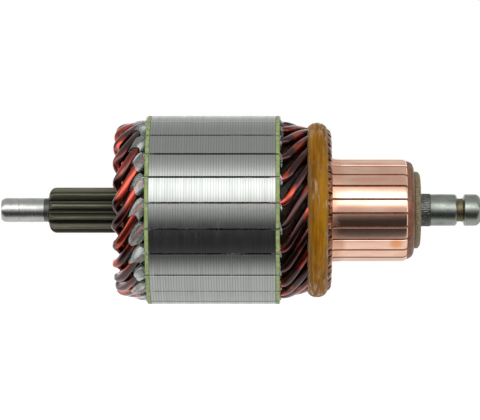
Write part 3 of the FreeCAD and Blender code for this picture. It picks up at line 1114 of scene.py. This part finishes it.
@dataclass
class SlottedStack:
    """Laminated core and its end fibres, which share one ring of slots, in millimetres."""

    slots: int = 23
    first_slot: float = 3.6
    radius: float = 27.5
    bore_r: float = 6.0
    laminations: int = 47
    opening: float = 0.5
    lip: float = 0.9
    shoulder_r: float = 26.1
    slot_half: float = 1.4
    slot_bottom_r: float = 20.1
    joint_depth: float = 0.02
    proud: float = 0.006
    fibre_ease: float = 0.35
    start: float = packed("core_stack", 0)
    end: float = packed("core_stack", 1)

    def lamination(self) -> float:
        """Thickness of one sheet."""
        return (self.end - self.start) / self.laminations

    def pitch(self) -> float:
        """Angle from slot to slot, in degrees."""
        return 360.0 / self.slots

    def angle(self, number: float) -> float:
        """Angle of a slot, counted from 0, in degrees."""
        return self.first_slot + number * self.pitch()

    def outline(self, rim_points: int, mouth_ease: float) -> Tuple[Array, Array]:
        """Loop of the stamped outline as angles and radii, slot by slot.

        Slot corners come from half width and height: the angle is atan(half / height) and the
        radius is their length. The rim runs in equal steps from slot to slot.

        Args:
            rim_points: Points on the rim from slot to slot.
            mouth_ease: Rounding at the slot's mouth.

        Returns:
            The angles and the radii.
        """
        half = np.array([self.opening / 2 + mouth_ease, self.opening / 2, self.opening / 2,
                         self.slot_half, self.slot_half])
        height = np.array([self.radius, self.radius - mouth_ease - 0.02, self.radius - self.lip,
                           self.shoulder_r, self.slot_bottom_r])
        side_angle = np.arctan2(half, height)
        side_r = np.hypot(half, height)
        side_r[0] = self.radius
        pitch = FULL_TURN / self.slots
        rim = np.linspace(side_angle[0], pitch - side_angle[0], rim_points)[1:-1]
        one = np.concatenate([-side_angle, side_angle[::-1], rim])
        one_r = np.concatenate([side_r, side_r[::-1], np.full(len(rim), self.radius)])
        centres = math.radians(self.first_slot) + pitch * np.arange(self.slots)
        return (centres[:, None] + one).ravel(), np.tile(one_r, self.slots)

    def plate(self, stations: Array, shrink: Array, rim_points: int = 9, mouth_ease: float = 0.05) -> Patch:
        """Slotted solid along the shaft.

        Args:
            stations: Places along x.
            shrink: How far the rim lies under its full radius at each of them.
            rim_points: Points on the rim from slot to slot.
            mouth_ease: Rounding at the slot's mouth.

        Returns:
            Closed patch with the shaft's bore through it.
        """
        angle, radius = self.outline(rim_points, mouth_ease)
        near_rim = np.clip((radius - self.shoulder_r) / (self.radius - self.shoulder_r), 0, 1)
        section = radius - shrink[:, None] * near_rim
        bore = round_axis(np.array([[stations[0], self.bore_r], [stations[-1], self.bore_r]]), 72)
        return walled(around(stations, section, angle), bore)

    def build(self) -> None:
        """The core and both fibre discs."""
        self.build_core()
        green = Board.GREEN.value.material()
        self.build_fibre("drive_fibre_disc", "drive_end_fibre", green)
        self.build_fibre("commutator_fibre_disc", "commutator_end_fibre", green)

    def build_core(self) -> None:
        """Core with a fine groove at each joint between its sheets."""
        sheet = self.lamination()
        within = np.array([0.0, 0.1, 0.9])
        stations = (self.start + sheet * (np.arange(self.laminations)[:, None] + within)).ravel()
        stations = np.append(stations, self.end)
        shrink = np.append(np.tile([self.joint_depth, 0.0, 0.0], self.laminations), self.joint_depth)
        rng = np.random.default_rng(23)
        under = np.repeat(rng.uniform(0, self.proud, self.laminations), 3)
        shrink[:-1] += under * (shrink[:-1] == 0)
        steel = LaminatedSteel(sheet, self.start).material()
        make_piece("core_laminations", self.plate(stations, shrink), steel,
                   ["core_stack"], crease=40)

    def build_fibre(self, name: str, node: str, finish: Material) -> None:
        """Fibre disc with its rim eased by a quarter circle on both sides.

        Args:
            name: Name of the piece.
            node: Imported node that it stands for.
            finish: Its material.
        """
        start, end = end_of(node, 0), end_of(node, 1)
        turn = np.linspace(0, math.pi / 2, 5)
        rise = self.fibre_ease * (1 - np.cos(turn))
        drop = self.fibre_ease * (1 - np.sin(turn))
        stations = np.concatenate([start + rise, end - rise[::-1]])
        shrink = np.concatenate([drop, drop[::-1]])
        make_piece(name, self.plate(stations, shrink, rim_points=11), finish, [node])


@dataclass
class Riser:
    """Raised end of the bars, where the coils' leads lie in slots, in millimetres."""

    end: float = packed("hairpin_01", 1)
    length: float = 4.7
    radius: float = 23.7
    bevel: float = 1.15
    bevel_slope: float = 1.35

    def start(self) -> float:
        """Its face towards the core."""
        return self.end - self.length


@dataclass
class Winding:
    """Formed copper coils and the varnish between their two layers, in millimetres."""

    stack: SlottedStack
    riser: Riser
    coil_slots: int = 4
    wire: float = 2.3
    outer_r: float = 24.7
    inner_r: float = 21.8
    riser_wire_r: float = 22.5
    drive_straight: float = 0.7
    overhang: float = 9.5
    drive_drop: float = 0.7
    knuckle_depth: float = 0.95
    knuckle_span: float = 4.2
    lead_straight: float = 1.5
    bend_room: float = 1.8
    lead_stop_gap: float = 1.0
    drop_power: float = 1.2
    enamel_swell: float = 0.1
    swell_from: float = 0.4
    swell_over: float = 0.8
    swell_stop: float = 0.3
    turned_under: float = 0.03
    coil_step: float = 0.6
    coil_section: Tuple[int, float] = (24, 2.35)
    flow_gap: float = 131.0
    knuckle_shift: Pair = (0.0, 0.4)
    knuckle_turn: Pair = (-0.5, 0.5)
    varnish_under: float = 0.62
    varnish_depth: float = 0.45
    drive_face: float = packed("drive_end_fibre", 0)
    fibre_end: float = packed("commutator_end_fibre", 1)

    def half_coil(self) -> float:
        """Half the angle that one coil spans, in degrees."""
        return self.coil_slots * self.stack.pitch() / 2

    def leg(self, slot_angle: float, layer_r: float, riser_r: float, sense: int) -> Array:
        """Control points of one leg, from the riser to its side of the knuckle.

        The lead winds in steadily with x while its radius falls as a power of the way left.

        Args:
            slot_angle: Angle of the leg's slot, in degrees.
            layer_r: Radius of its layer in the slot.
            riser_r: Radius at which it lies in the riser.
            sense: Way in which the lead winds on, 1 or -1.

        Returns:
            Rows of (x, angle, radius).
        """
        start = self.fibre_end + self.lead_straight
        stop = self.riser.start() - self.lead_stop_gap
        share = np.append(np.linspace(1, 0.4, 6), 0)
        lead = np.column_stack([start + share * (stop - start), slot_angle + sense * share * self.half_coil(),
                                riser_r + (layer_r - riser_r) * (1 - share) ** self.drop_power])
        turn_in = self.drive_face - self.drive_straight
        turn_back = self.drive_face - self.overhang + self.wire / 2 + self.knuckle_depth
        knuckle = self.half_coil() - self.knuckle_span
        return np.vstack([
            [self.riser.end, slot_angle + sense * self.half_coil(), riser_r],
            lead,
            [self.fibre_end - self.bend_room, slot_angle, layer_r],
            [self.drive_face + self.bend_room, slot_angle, layer_r],
            [turn_in, slot_angle, layer_r],
            [(turn_in + turn_back) / 2, slot_angle - sense * knuckle / 2, layer_r - self.drive_drop / 2],
            [turn_back, slot_angle - sense * knuckle, layer_r - self.drive_drop],
        ])

    def coil_path(self, shift: float, spread: float) -> Array:
        """Smooth centre line of one coil, with its knuckle moved a little.

        Corners are cut three times: each run keeps its points at a quarter and three quarters.

        Args:
            shift: How far the knuckle lies towards the core.
            spread: How far it is turned, in degrees.

        Returns:
            Rows of points.
        """
        inner_slot = 2 * self.half_coil()
        drop = self.outer_r - self.inner_r
        outer = self.leg(0.0, self.outer_r, self.riser_wire_r, -1)
        inner = self.leg(inner_slot, self.inner_r, self.riser_wire_r - drop, 1)
        tip = [self.drive_face - self.overhang + self.wire / 2 - 0.35 + shift, self.half_coil() + spread,
               (self.outer_r + self.inner_r) / 2 - self.drive_drop]
        outer[-1] += (shift, spread, 0)
        inner[-1] += (shift, spread, 0)
        path = np.vstack([outer, tip, inner[::-1]])
        for _ in range(3):
            near = path[:-1] * 0.75 + path[1:] * 0.25
            far = path[:-1] * 0.25 + path[1:] * 0.75
            path = np.vstack([path[:1], np.stack([near, far], 1).reshape(-1, 3), path[-1:]])
        angle = np.radians(path[:, 1])
        return np.column_stack([path[:, 0], path[:, 2] * np.cos(angle), path[:, 2] * np.sin(angle)])

    def thickness(self, x: Array) -> Array:
        """Scale of the section, fuller in the varnished overhangs than in slot and riser.

        Args:
            x: Stations along x.

        Returns:
            The scale at each.
        """
        drive = np.clip((self.drive_face - self.swell_from - x) / self.swell_over, 0, 1)
        leads = (np.clip((x - self.fibre_end - self.swell_from) / self.swell_over, 0, 1)
                 * np.clip((self.riser.start() - self.swell_stop - x) / self.swell_over, 0, 1))
        return 1 + self.enamel_swell * (drive + leads)

    def build_coils(self) -> None:
        """One piece for each coil, every one bent a touch differently."""
        finish = EnamelledCopper(self.riser.start(), self.fibre_end).material()
        rng = np.random.default_rng(7)
        loop = soft_square(*self.coil_section) * self.wire / 2
        for number in range(self.stack.slots):
            shift, spread = rng.uniform(*self.knuckle_shift), rng.uniform(*self.knuckle_turn)
            path = evenly(self.coil_path(shift, spread), self.coil_step)
            across, up = frames(path)
            swell = self.thickness(path[:, 0])[:, None, None]
            grid = path[:, None] + swell * (loop[:, :1] * across[:, None] + loop[:, 1:] * up[:, None])
            past = np.clip(grid[..., 0] - self.riser.end + self.riser.bevel, 0, None)
            turned = self.riser.radius - self.turned_under - self.riser.bevel_slope * past
            limit = np.where(past > 0, turned, 2 * self.riser.radius)
            grid[..., 1:] *= np.minimum(1, limit / np.linalg.norm(grid[..., 1:], axis=-1))[..., None]
            patch = capped(grid).outward().turned(self.stack.angle(number))
            along = np.repeat(np.arange(len(path)) * self.coil_step, len(loop)) + self.flow_gap * number
            flow = np.column_stack([along, np.tile(loop, (len(path), 1))])
            flow = np.vstack([flow, [flow[0, 0], 0, 0], [flow[-1, 0], 0, 0]])
            make_piece("coil_%02d" % (number + 1), patch, finish,
                       ["hairpin_%02d" % (number + 1)], crease=50, flow=flow)

    def varnish_shell(self, stations: Array, wire_r: Array) -> Patch:
        """Thin uneven shell right under the outer wires.

        Args:
            stations: Places along x.
            wire_r: Radius of the wires' middles at each.

        Returns:
            Closed ring.
        """
        angle = np.linspace(0, FULL_TURN, 276, endpoint=False)
        ripple = 0.07 * np.sin(17 * angle[None] + 0.9 * stations[:, None]) + 0.05 * np.sin(7 * angle[None])
        top = wire_r[:, None] - self.varnish_under * self.wire + ripple
        under = top[::-1] - self.varnish_depth
        walls = [around(stations, top, angle), around(stations[::-1], under, angle)]
        return skin(np.concatenate(walls), close_rows=True).outward()

    def build_varnish(self) -> None:
        """Dark varnish that fills the gap between the two layers of wires at both ends of the core; its
        near-black colour also paints the shade seen through the gaps between the outer wires.
        """
        share = np.linspace(0, 1, 20)
        drive = self.drive_face + 0.1 - share * (self.overhang - 3.2)
        reach = self.riser.start() - self.fibre_end
        leads = self.fibre_end - 0.1 + share * reach
        wound = np.clip((leads - self.fibre_end - self.lead_straight) / (reach - 2.5), 0, 1)
        under_leads = self.riser_wire_r + (self.outer_r - self.riser_wire_r) * (1 - wound) ** self.drop_power
        shells = [self.varnish_shell(drive, self.outer_r - self.drive_drop * share),
                  self.varnish_shell(leads, under_leads)]
        # This shell is partly real varnish and partly painted shade that darkens the gaps between the wires
        make_piece("layer_varnish_painted_shade", together(shells), VarnishWithPaintedShade().material(),
                   ["slot_liners", "binding_band"], crease=60)


@dataclass
class SlotFilm:
    """Film in the slots: liners, the cuffs that they end in, and slivers in the mouths, in millimetres."""

    winding: Winding
    film: float = 0.06
    gap: float = 0.12
    overlap: float = 0.3
    drive_reach: Pair = (2.6, 3.8)
    lead_reach: Pair = (0.3, 0.7)
    step: float = 0.15
    hidden: float = 0.6
    open_from: float = 0.5
    open_over: float = 0.2
    open_width: float = 1.1
    open_height: float = 0.45
    closing: float = 0.9
    ragged: float = 0.16
    lip_low: float = 25.9
    lip_high: float = 27.36
    lip_half: float = 0.05
    lip_reach: Pair = (1.0, 3.0)
    lip_length: Pair = (3, 9)
    lip_chance: float = 0.45
    lip_offset: float = 0.1

    def build(self) -> None:
        """All the film, of one material."""
        film = ClearFilm().material()
        self.build_sleeves(film)
        self.build_lips(film)

    def cuff(self, at_drive: bool, reach: float, phase: float) -> Tuple[Patch, Array]:
        """Film that stands out of a slot round the outer leg, along the leg's own run.

        Its walls lie off the wire by opened (open_width + wave): opened jumps to 1 right outside the
        fibre and falls evenly to a tenth at the film's ragged edge, and the wave goes round the loop.

        Args:
            at_drive: Whether it is the drive end's cuff.
            reach: How far it stands out along x.
            phase: Phase of its waves.

        Returns:
            Thin closed shell for the coil whose outer leg lies at +Y, and its flow.
        """
        coil = self.winding
        path = evenly(coil.coil_path(0.0, 0.0), self.step)
        path = path[:len(path) // 2]
        path = path if at_drive else path[::-1]
        out = coil.drive_face - path[:, 0] if at_drive else path[:, 0] - coil.fibre_end
        path = path[(out > -self.hidden) & (out < reach)]
        across, up = frames(path)
        length = run_length(path)
        loop = soft_square(48, 5.0)
        turn = np.arctan2(loop[:, 1], loop[:, 0])
        edge = 1 - self.ragged + self.ragged * np.sin(2 * turn + 2.3 * phase)
        place = np.linspace(0, 1, 18)[:, None] * length[-1] * edge

        def along(values: Array) -> Array:
            """Vectors along the leg read at the film's own stations."""
            return np.stack([np.interp(place, length, column) for column in values.T], axis=-1)

        share = np.clip((place - self.hidden) / (length[-1] - self.hidden), 0, 1)
        opened = np.clip((place - self.open_from) / self.open_over, 0, 1) * (1 - self.closing * share)
        wave = 0.2 * np.sin(2 * turn + phase) + 0.09 * np.sin(7 * turn + 2 * phase)
        half = coil.wire / 2 + self.gap + 0.14 * np.clip(place - 0.8, 0, 1)
        width = half + opened * (self.open_width + wave)
        height = half + opened * (self.open_height + 0.5 * wave)
        walls = [along(path) + ((width - inset) * loop[:, 0])[..., None] * along(across)
                 + ((height - inset) * loop[:, 1])[..., None] * along(up) for inset in (0, self.film)]
        flow = np.concatenate([place[..., None] + 40 * phase, half[..., None] * loop], axis=-1)
        shell = skin(np.concatenate([walls[0], walls[1][::-1]]), close_rows=True).outward()
        return shell, np.concatenate([flow, flow[::-1]]).reshape(-1, 3)

    def liner(self) -> Patch:
        """Flat tube of film that lies in a slot round both legs, about the +Y direction.

        Returns:
            Closed patch.
        """
        coil = self.winding
        middle = (coil.outer_r + coil.inner_r) / 2
        low, high = coil.drive_face - self.overlap, coil.fibre_end + self.overlap
        loop = soft_square(32, 6)
        rows = []
        for x, inset in ((low, 0), (high, 0), (high, self.film), (low, self.film)):
            half_width = coil.wire / 2 + self.gap - inset
            tall = middle - coil.inner_r + half_width
            rows.append(np.column_stack([np.full(len(loop), x), middle + loop[:, 1] * tall,
                                         loop[:, 0] * half_width]))
        return skin(np.stack(rows), close_rows=True).outward()

    def build_sleeves(self, finish: Material) -> None:
        """All the film in the slots as one piece: straight liners and their cuffs.

        Args:
            finish: Its material.
        """
        rng = np.random.default_rng(41)
        liner = self.liner()
        sleeves, flows = [], []
        for number in range(self.winding.stack.slots):
            drive, drive_flow = self.cuff(True, rng.uniform(*self.drive_reach), rng.uniform(0, 6))
            leads, leads_flow = self.cuff(False, rng.uniform(*self.lead_reach), rng.uniform(0, 6))
            sleeves.append(together([liner, drive, leads]).turned(self.winding.stack.angle(number)))
            flows += [liner.points, drive_flow, leads_flow]
        make_piece("film_sleeves", together(sleeves), finish, ["slot_liners"], crease=60,
                   flow=np.vstack(flows))

    def build_lips(self, finish: Material) -> None:
        """Slivers of film that stand in the slot mouths, over both fibres and part of the core.

        Args:
            finish: Their material.
        """
        rng = np.random.default_rng(5)
        stack, start, end = self.winding.stack, self.winding.drive_face, self.winding.fibre_end
        slivers = []
        for number in range(stack.slots):
            reach = rng.uniform(*self.lip_reach, 2)
            spans = [(start - 0.5, start + reach[0]), (end - reach[1], end + 0.3)]
            if rng.random() < self.lip_chance:
                middle = rng.uniform(start + 8, end - 10)
                spans.append((middle, middle + rng.uniform(*self.lip_length)))
            side = rng.uniform(-self.lip_offset, self.lip_offset)
            left, right = side - self.lip_half, side + self.lip_half
            section = np.array([[self.lip_low, left], [self.lip_high, left],
                                [self.lip_high, right], [self.lip_low, right]])
            slivers += [prism(section, low, high).turned(stack.angle(number)) for low, high in spans]
        lips = together(slivers)
        make_piece("film_lips", lips, finish, ["slot_liners"], flow=lips.points)


@dataclass
class Commutator:
    """Copper bars, the moulding between and beyond them, and the end washer, in millimetres."""

    stack: SlottedStack
    riser: Riser
    half_coil: float
    ring_end: float = packed("commutator_moulding", 1)
    washer_end: float = packed("commutator_end_washer", 1)
    ring_length: float = 2.2
    track_r: float = 14.95
    lip_r: float = 12.95
    ring_r: float = 13.95
    bore_r: float = 6.0
    gap: float = 0.5
    undercut: float = 0.5
    slot_half: float = 1.2
    slot_bottom: float = 18.4
    back_ring: float = 2.0
    washer_r: float = 11.3
    washer_bore_r: float = 4.65

    def half_width(self, height: Array, gap: float) -> Array:
        """Half width of a bar at a height over the axis, with parallel gaps between the bars."""
        half_pitch = math.pi / self.stack.slots
        return height * math.tan(half_pitch) - gap / 2 / math.cos(half_pitch)

    def block(self, stations: Sequence[Pair], slot_floor: Optional[float] = None) -> Patch:
        """Part of a bar about +Y, with flanks parallel to the next bars' and a top that follows its circle.

        Args:
            stations: Places along x with the top's radius at each.
            slot_floor: Radius of the wire slot's floor, or None for a plain top.

        Returns:
            Closed patch with flat ends.
        """
        ease = 0.1
        rows = []
        for x, top in stations:
            low = np.array([self.lip_r, top - 2 * ease])
            edge = float(self.half_width(np.array(top), self.gap)) - ease
            if slot_floor is None:
                across = np.linspace(edge, edge / 11, 6)
            else:
                across = np.array([edge, (edge + self.slot_half) / 2, self.slot_half])
            height = np.concatenate([low, np.sqrt(top ** 2 - across ** 2)])
            width = np.concatenate([self.half_width(low, self.gap), across])
            if slot_floor is not None:
                height, width = np.append(height, slot_floor), np.append(width, self.slot_half)
            rows.append(np.column_stack([np.full(2 * len(height), x), np.concatenate([height, height[::-1]]),
                                         np.concatenate([width, -width[::-1]])]))
        return walled(np.stack(rows))

    def bar(self) -> Patch:
        """One bar about +Y: the slotted riser, bevelled where it was turned, and the track beyond it.

        Returns:
            Closed patch.
        """
        start, bevel, radius = self.riser.end, self.riser.bevel, self.riser.radius
        end = self.ring_end - self.ring_length
        riser = self.block([
            (self.riser.start(), radius), (start - bevel, radius),
            (start - 0.35 * bevel, radius - 0.5 * bevel), (start, radius - self.riser.bevel_slope * bevel),
        ], self.slot_bottom)
        track = self.block([
            (start, self.track_r + 0.75), (start + 0.25, self.track_r + 0.22),
            (start + 0.75, self.track_r + 0.06), (start + 3.0, self.track_r),
            (end - 1.15, self.track_r), (end - 0.35, self.track_r - 0.28), (end, self.track_r - 0.72),
        ])
        return together([riser, track])

    def build_bars(self) -> None:
        """One piece for each bar, the first one half a coil back from the first slot."""
        bar, copper = self.bar(), TurnedCopper(self.riser.end, self.track_r).material()
        for number in range(self.stack.slots):
            name = "%02d" % (number + 1)
            make_piece("bar_" + name, bar.turned(self.stack.angle(number) - self.half_coil), copper,
                       ["commutator_bar_" + name], crease=24)

    def build_moulding(self) -> None:
        """Hub, rounded end ring, and a rib in each gap between the bars."""
        end = self.ring_end - self.ring_length
        back = self.riser.start() - self.back_ring
        hub = turned_ring([
            (back, self.bore_r, 0), (back, self.lip_r, 0.4), (end - 0.4, self.lip_r + 0.3, 0),
            (end - 0.02, self.ring_r + 0.35, 0.1), (end + 1.1, self.ring_r, 0.5),
            (self.ring_end - 0.55, self.ring_r - 0.5, 0.3), (self.ring_end - 0.2, self.ring_r - 1.3, 0.25),
            (self.ring_end - 0.02, self.washer_r + 0.3, 0.2), (self.ring_end, self.bore_r, 0),
        ])
        low, high, half = self.lip_r - 0.4, self.track_r - self.undercut, self.gap / 2
        section = np.array([[low, -half], [high, -half], [high, half], [low, half]])
        rib = prism(section, self.riser.start(), end)
        ribs = [rib.turned(self.stack.angle(gap + 0.5) - self.half_coil) for gap in range(self.stack.slots)]
        make_piece("commutator_hub", together([hub] + ribs), Board.PHENOLIC.value.material(),
                   ["commutator_moulding"])

    def build_washer(self) -> None:
        """Fibre washer with a soft rim."""
        edge = self.washer_r - 0.1
        washer = turned_ring([
            (self.ring_end, self.washer_bore_r, 0), (self.ring_end, edge, 0.2),
            (self.washer_end - 0.7, edge, 0.4), (self.washer_end - 0.05, edge - 0.85, 0.4),
            (self.washer_end, self.washer_bore_r, 0),
        ])
        make_piece("end_washer", washer, Board.TAN.value.material(), ["commutator_end_washer"])


@dataclass
class BindingBand:
    """Cord wound over the leads and soaked with resin, in millimetres."""

    start: float = packed("binding_band", 0)
    end: float = packed("binding_band", 1)
    bore_r: float = 24.0
    top_r: float = 25.6
    turns_of_cord: int = 9
    cord_relief: float = 0.035
    sag: float = 0.1
    soak: float = 0.85

    def centre(self) -> float:
        """Middle of the band along x."""
        return (self.start + self.end) / 2

    def build(self) -> None:
        """Ring whose outside is a soft arch with ridges of cord and slow lumps of resin.

        The outside is r = foot + rise (1 - u^2)^0.5, u from -1 to 1 across the band; the foot
        lies in the resin that has soaked in between the leads.
        """
        u = np.sin(np.linspace(-math.pi / 2, math.pi / 2, 45))
        angle = np.linspace(0, FULL_TURN, 360, endpoint=False)
        arch = np.sqrt(np.clip(1 - u ** 2, 0, None))[:, None]
        ridges = np.cos(u * math.pi * self.turns_of_cord)[:, None] * self.cord_relief
        lumps = self.sag * (np.sin(3 * angle + 0.7) * 0.5 + np.sin(7 * angle + 2.1) * 0.3
                            + np.sin(13 * angle[None] + 4 * u[:, None]) * 0.2)
        foot = self.bore_r - self.soak
        rise = self.top_r - foot - self.sag
        radius = np.minimum(foot + (rise + ridges + lumps) * arch, self.top_r)
        outside = around(self.centre() + u * (self.end - self.start) / 2, radius, angle)
        inside = round_axis(np.array([[self.end, foot - 0.2], [self.start, foot - 0.2]]), len(angle))
        band = skin(np.concatenate([outside, inside]), close_rows=True).outward()
        make_piece("cord_band", band, WoundResin(self.centre()).material(), ["binding_band"],
                   crease=70)


# Studio


@dataclass(frozen=True)
class Studio:
    """Light tent, soft lamps, pale floor and the camera, in metres and degrees."""

    camera_distance: float = 0.83
    lens: float = 213.0
    camera_to_right: float = 0.011
    left_edge_pixel: float = 1.5
    pixels: float = 480.0
    floor_drop: float = 0.12
    floor_half: float = 6.0
    floor_glow: float = 0.32
    front_lamp_tilt: float = 58.0
    # Tent brightness by the angle up from the camera's side, over the top and down behind
    tent: Sequence[Pair] = (
        (-180, 1.4), (-155, 0.75), (-132, 0.88), (-96, 0.94), (-80, 0.84), (-70, 0.48), (-62, 0.17),
        (-52, 0.075), (-40, 0.04), (-24, 0.045), (-14, 0.16), (-7, 0.5), (0, 0.66), (6, 0.72), (10, 1.3),
        (15, 2.3), (24, 2.5), (33, 2.9), (40, 1.9), (48, 1.15), (58, 0.66), (70, 0.54), (90, 0.56),
        (120, 0.54), (150, 0.75), (180, 1.4),
    )

    def build_camera(self) -> None:
        """Camera square to the shaft, framed so that the drive end lies at its place in the picture."""
        data = bpy.data.cameras.new("camera")
        data.sensor_width = 36.0
        data.lens = self.lens
        data.clip_start, data.clip_end = 0.01, 50.0
        camera = bpy.data.objects.new("camera", data)
        bpy.context.scene.collection.objects.link(camera)
        metres_per_pixel = data.sensor_width / self.lens * self.camera_distance / self.pixels
        centre = CAD_BOX[0][0] + (self.pixels / 2 - self.left_edge_pixel) * metres_per_pixel
        camera.location = (centre + self.camera_to_right, -self.camera_distance, 0.0)
        camera.rotation_euler = (math.pi / 2, 0, math.atan2(self.camera_to_right, self.camera_distance))
        bpy.context.scene.camera = camera

    def build_tent(self) -> None:
        """World whose brightness is a curve over the direction, white where the camera looks straight."""
        world = bpy.data.worlds.new("tent")
        bpy.context.scene.world = world
        world.use_nodes = True
        sky = Nodes(world.node_tree)
        direction = sky.add("ShaderNodeTexCoord", {}).outputs["Generated"]
        _, y, z = sky.add("ShaderNodeSeparateXYZ", {0: direction}).outputs
        angle = sky.maths("ARCTAN2", z, sky.maths("MULTIPLY", y, -1.0))
        turn = {"Value": angle, "From Min": -math.pi, "From Max": math.pi}
        ramp = sky.add("ShaderNodeValToRGB", {0: sky.add("ShaderNodeMapRange", turn).outputs[0]})
        peak = max(level for _, level in self.tent)
        stops = ramp.color_ramp.elements
        while len(stops) < len(self.tent):
            stops.new(0.5)
        for stop, (degrees, level) in zip(stops, self.tent):
            stop.position = (degrees + 180) / 360
            stop.color = (level / peak,) * 3 + (1.0,)
        glow = sky.add("ShaderNodeBackground", {"Color": ramp.outputs[0], "Strength": peak})
        plain = sky.add("ShaderNodeBackground", {"Color": WHITE})
        straight = sky.add("ShaderNodeLightPath", {}).outputs["Is Camera Ray"]
        picked = sky.add("ShaderNodeMixShader", {0: straight, 1: glow.outputs[0], 2: plain.outputs[0]})
        sky.add("ShaderNodeOutputWorld", {"Surface": picked.outputs[0]})

    def build_floor(self) -> None:
        """Wide pale floor under the shaft."""
        half, level = self.floor_half, CAD_BOX[0][2] - self.floor_drop
        mesh = bpy.data.meshes.new("floor")
        corners = [(-half, -half, level), (half, -half, level), (half, half, level), (-half, half, level)]
        mesh.from_pydata(corners, [], [(0, 1, 2, 3)])
        graph = Graph("floor_card")
        card = graph.blend(graph.cloud(3, 3, 2, 0.5), (0.93, 0.93, 0.93, 1), (0.97, 0.97, 0.97, 1))
        mesh.materials.append(graph.surface(Base_Color=card, Roughness=0.9, Emission_Color=WHITE,
                                            Emission_Strength=self.floor_glow))
        floor = bpy.data.objects.new("floor", mesh)
        bpy.context.scene.collection.objects.link(floor)
        floor.visible_glossy = False

    def build_lamp(self, name: str, place: Triple, tilt: float, size: float, power: float) -> None:
        """Square soft lamp that lights surfaces without showing in their reflections.

        Args:
            name: Its name.
            place: Where it hangs.
            tilt: Turn about x from looking straight down, in degrees.
            size: Length of its sides.
            power: Its power in watts.
        """
        data = bpy.data.lights.new(name, "AREA")
        data.size = size
        data.energy = power
        lamp = bpy.data.objects.new(name, data)
        bpy.context.scene.collection.objects.link(lamp)
        lamp.location = place
        lamp.rotation_euler = (math.radians(tilt), 0, 0)
        lamp.visible_glossy = False

    def build(self) -> None:
        """Set up the whole studio."""
        bpy.context.scene.view_settings.view_transform = "Standard"
        self.build_camera()
        self.build_tent()
        self.build_floor()
        self.build_lamp("overhead_lamp", (0.06, 0.0, 1.1), 0.0, 1.0, 5.0)
        self.build_lamp("front_lamp", (0.06, -0.9, 0.55), self.front_lamp_tilt, 0.7, 1.5)


def main() -> None:
    """Build the studio and every sub-assembly, in order along the shaft."""
    logging.basicConfig(level=logging.INFO, format="%(name)s %(message)s")
    Studio().build()
    Shaft().build()
    stack, riser = SlottedStack(), Riser()
    stack.build()
    winding = Winding(stack, riser)
    winding.build_coils()
    winding.build_varnish()
    SlotFilm(winding).build()
    commutator = Commutator(stack, riser, winding.half_coil())
    commutator.build_bars()
    commutator.build_moulding()
    commutator.build_washer()
    BindingBand().build()


if __name__ == "__main__":
    main()
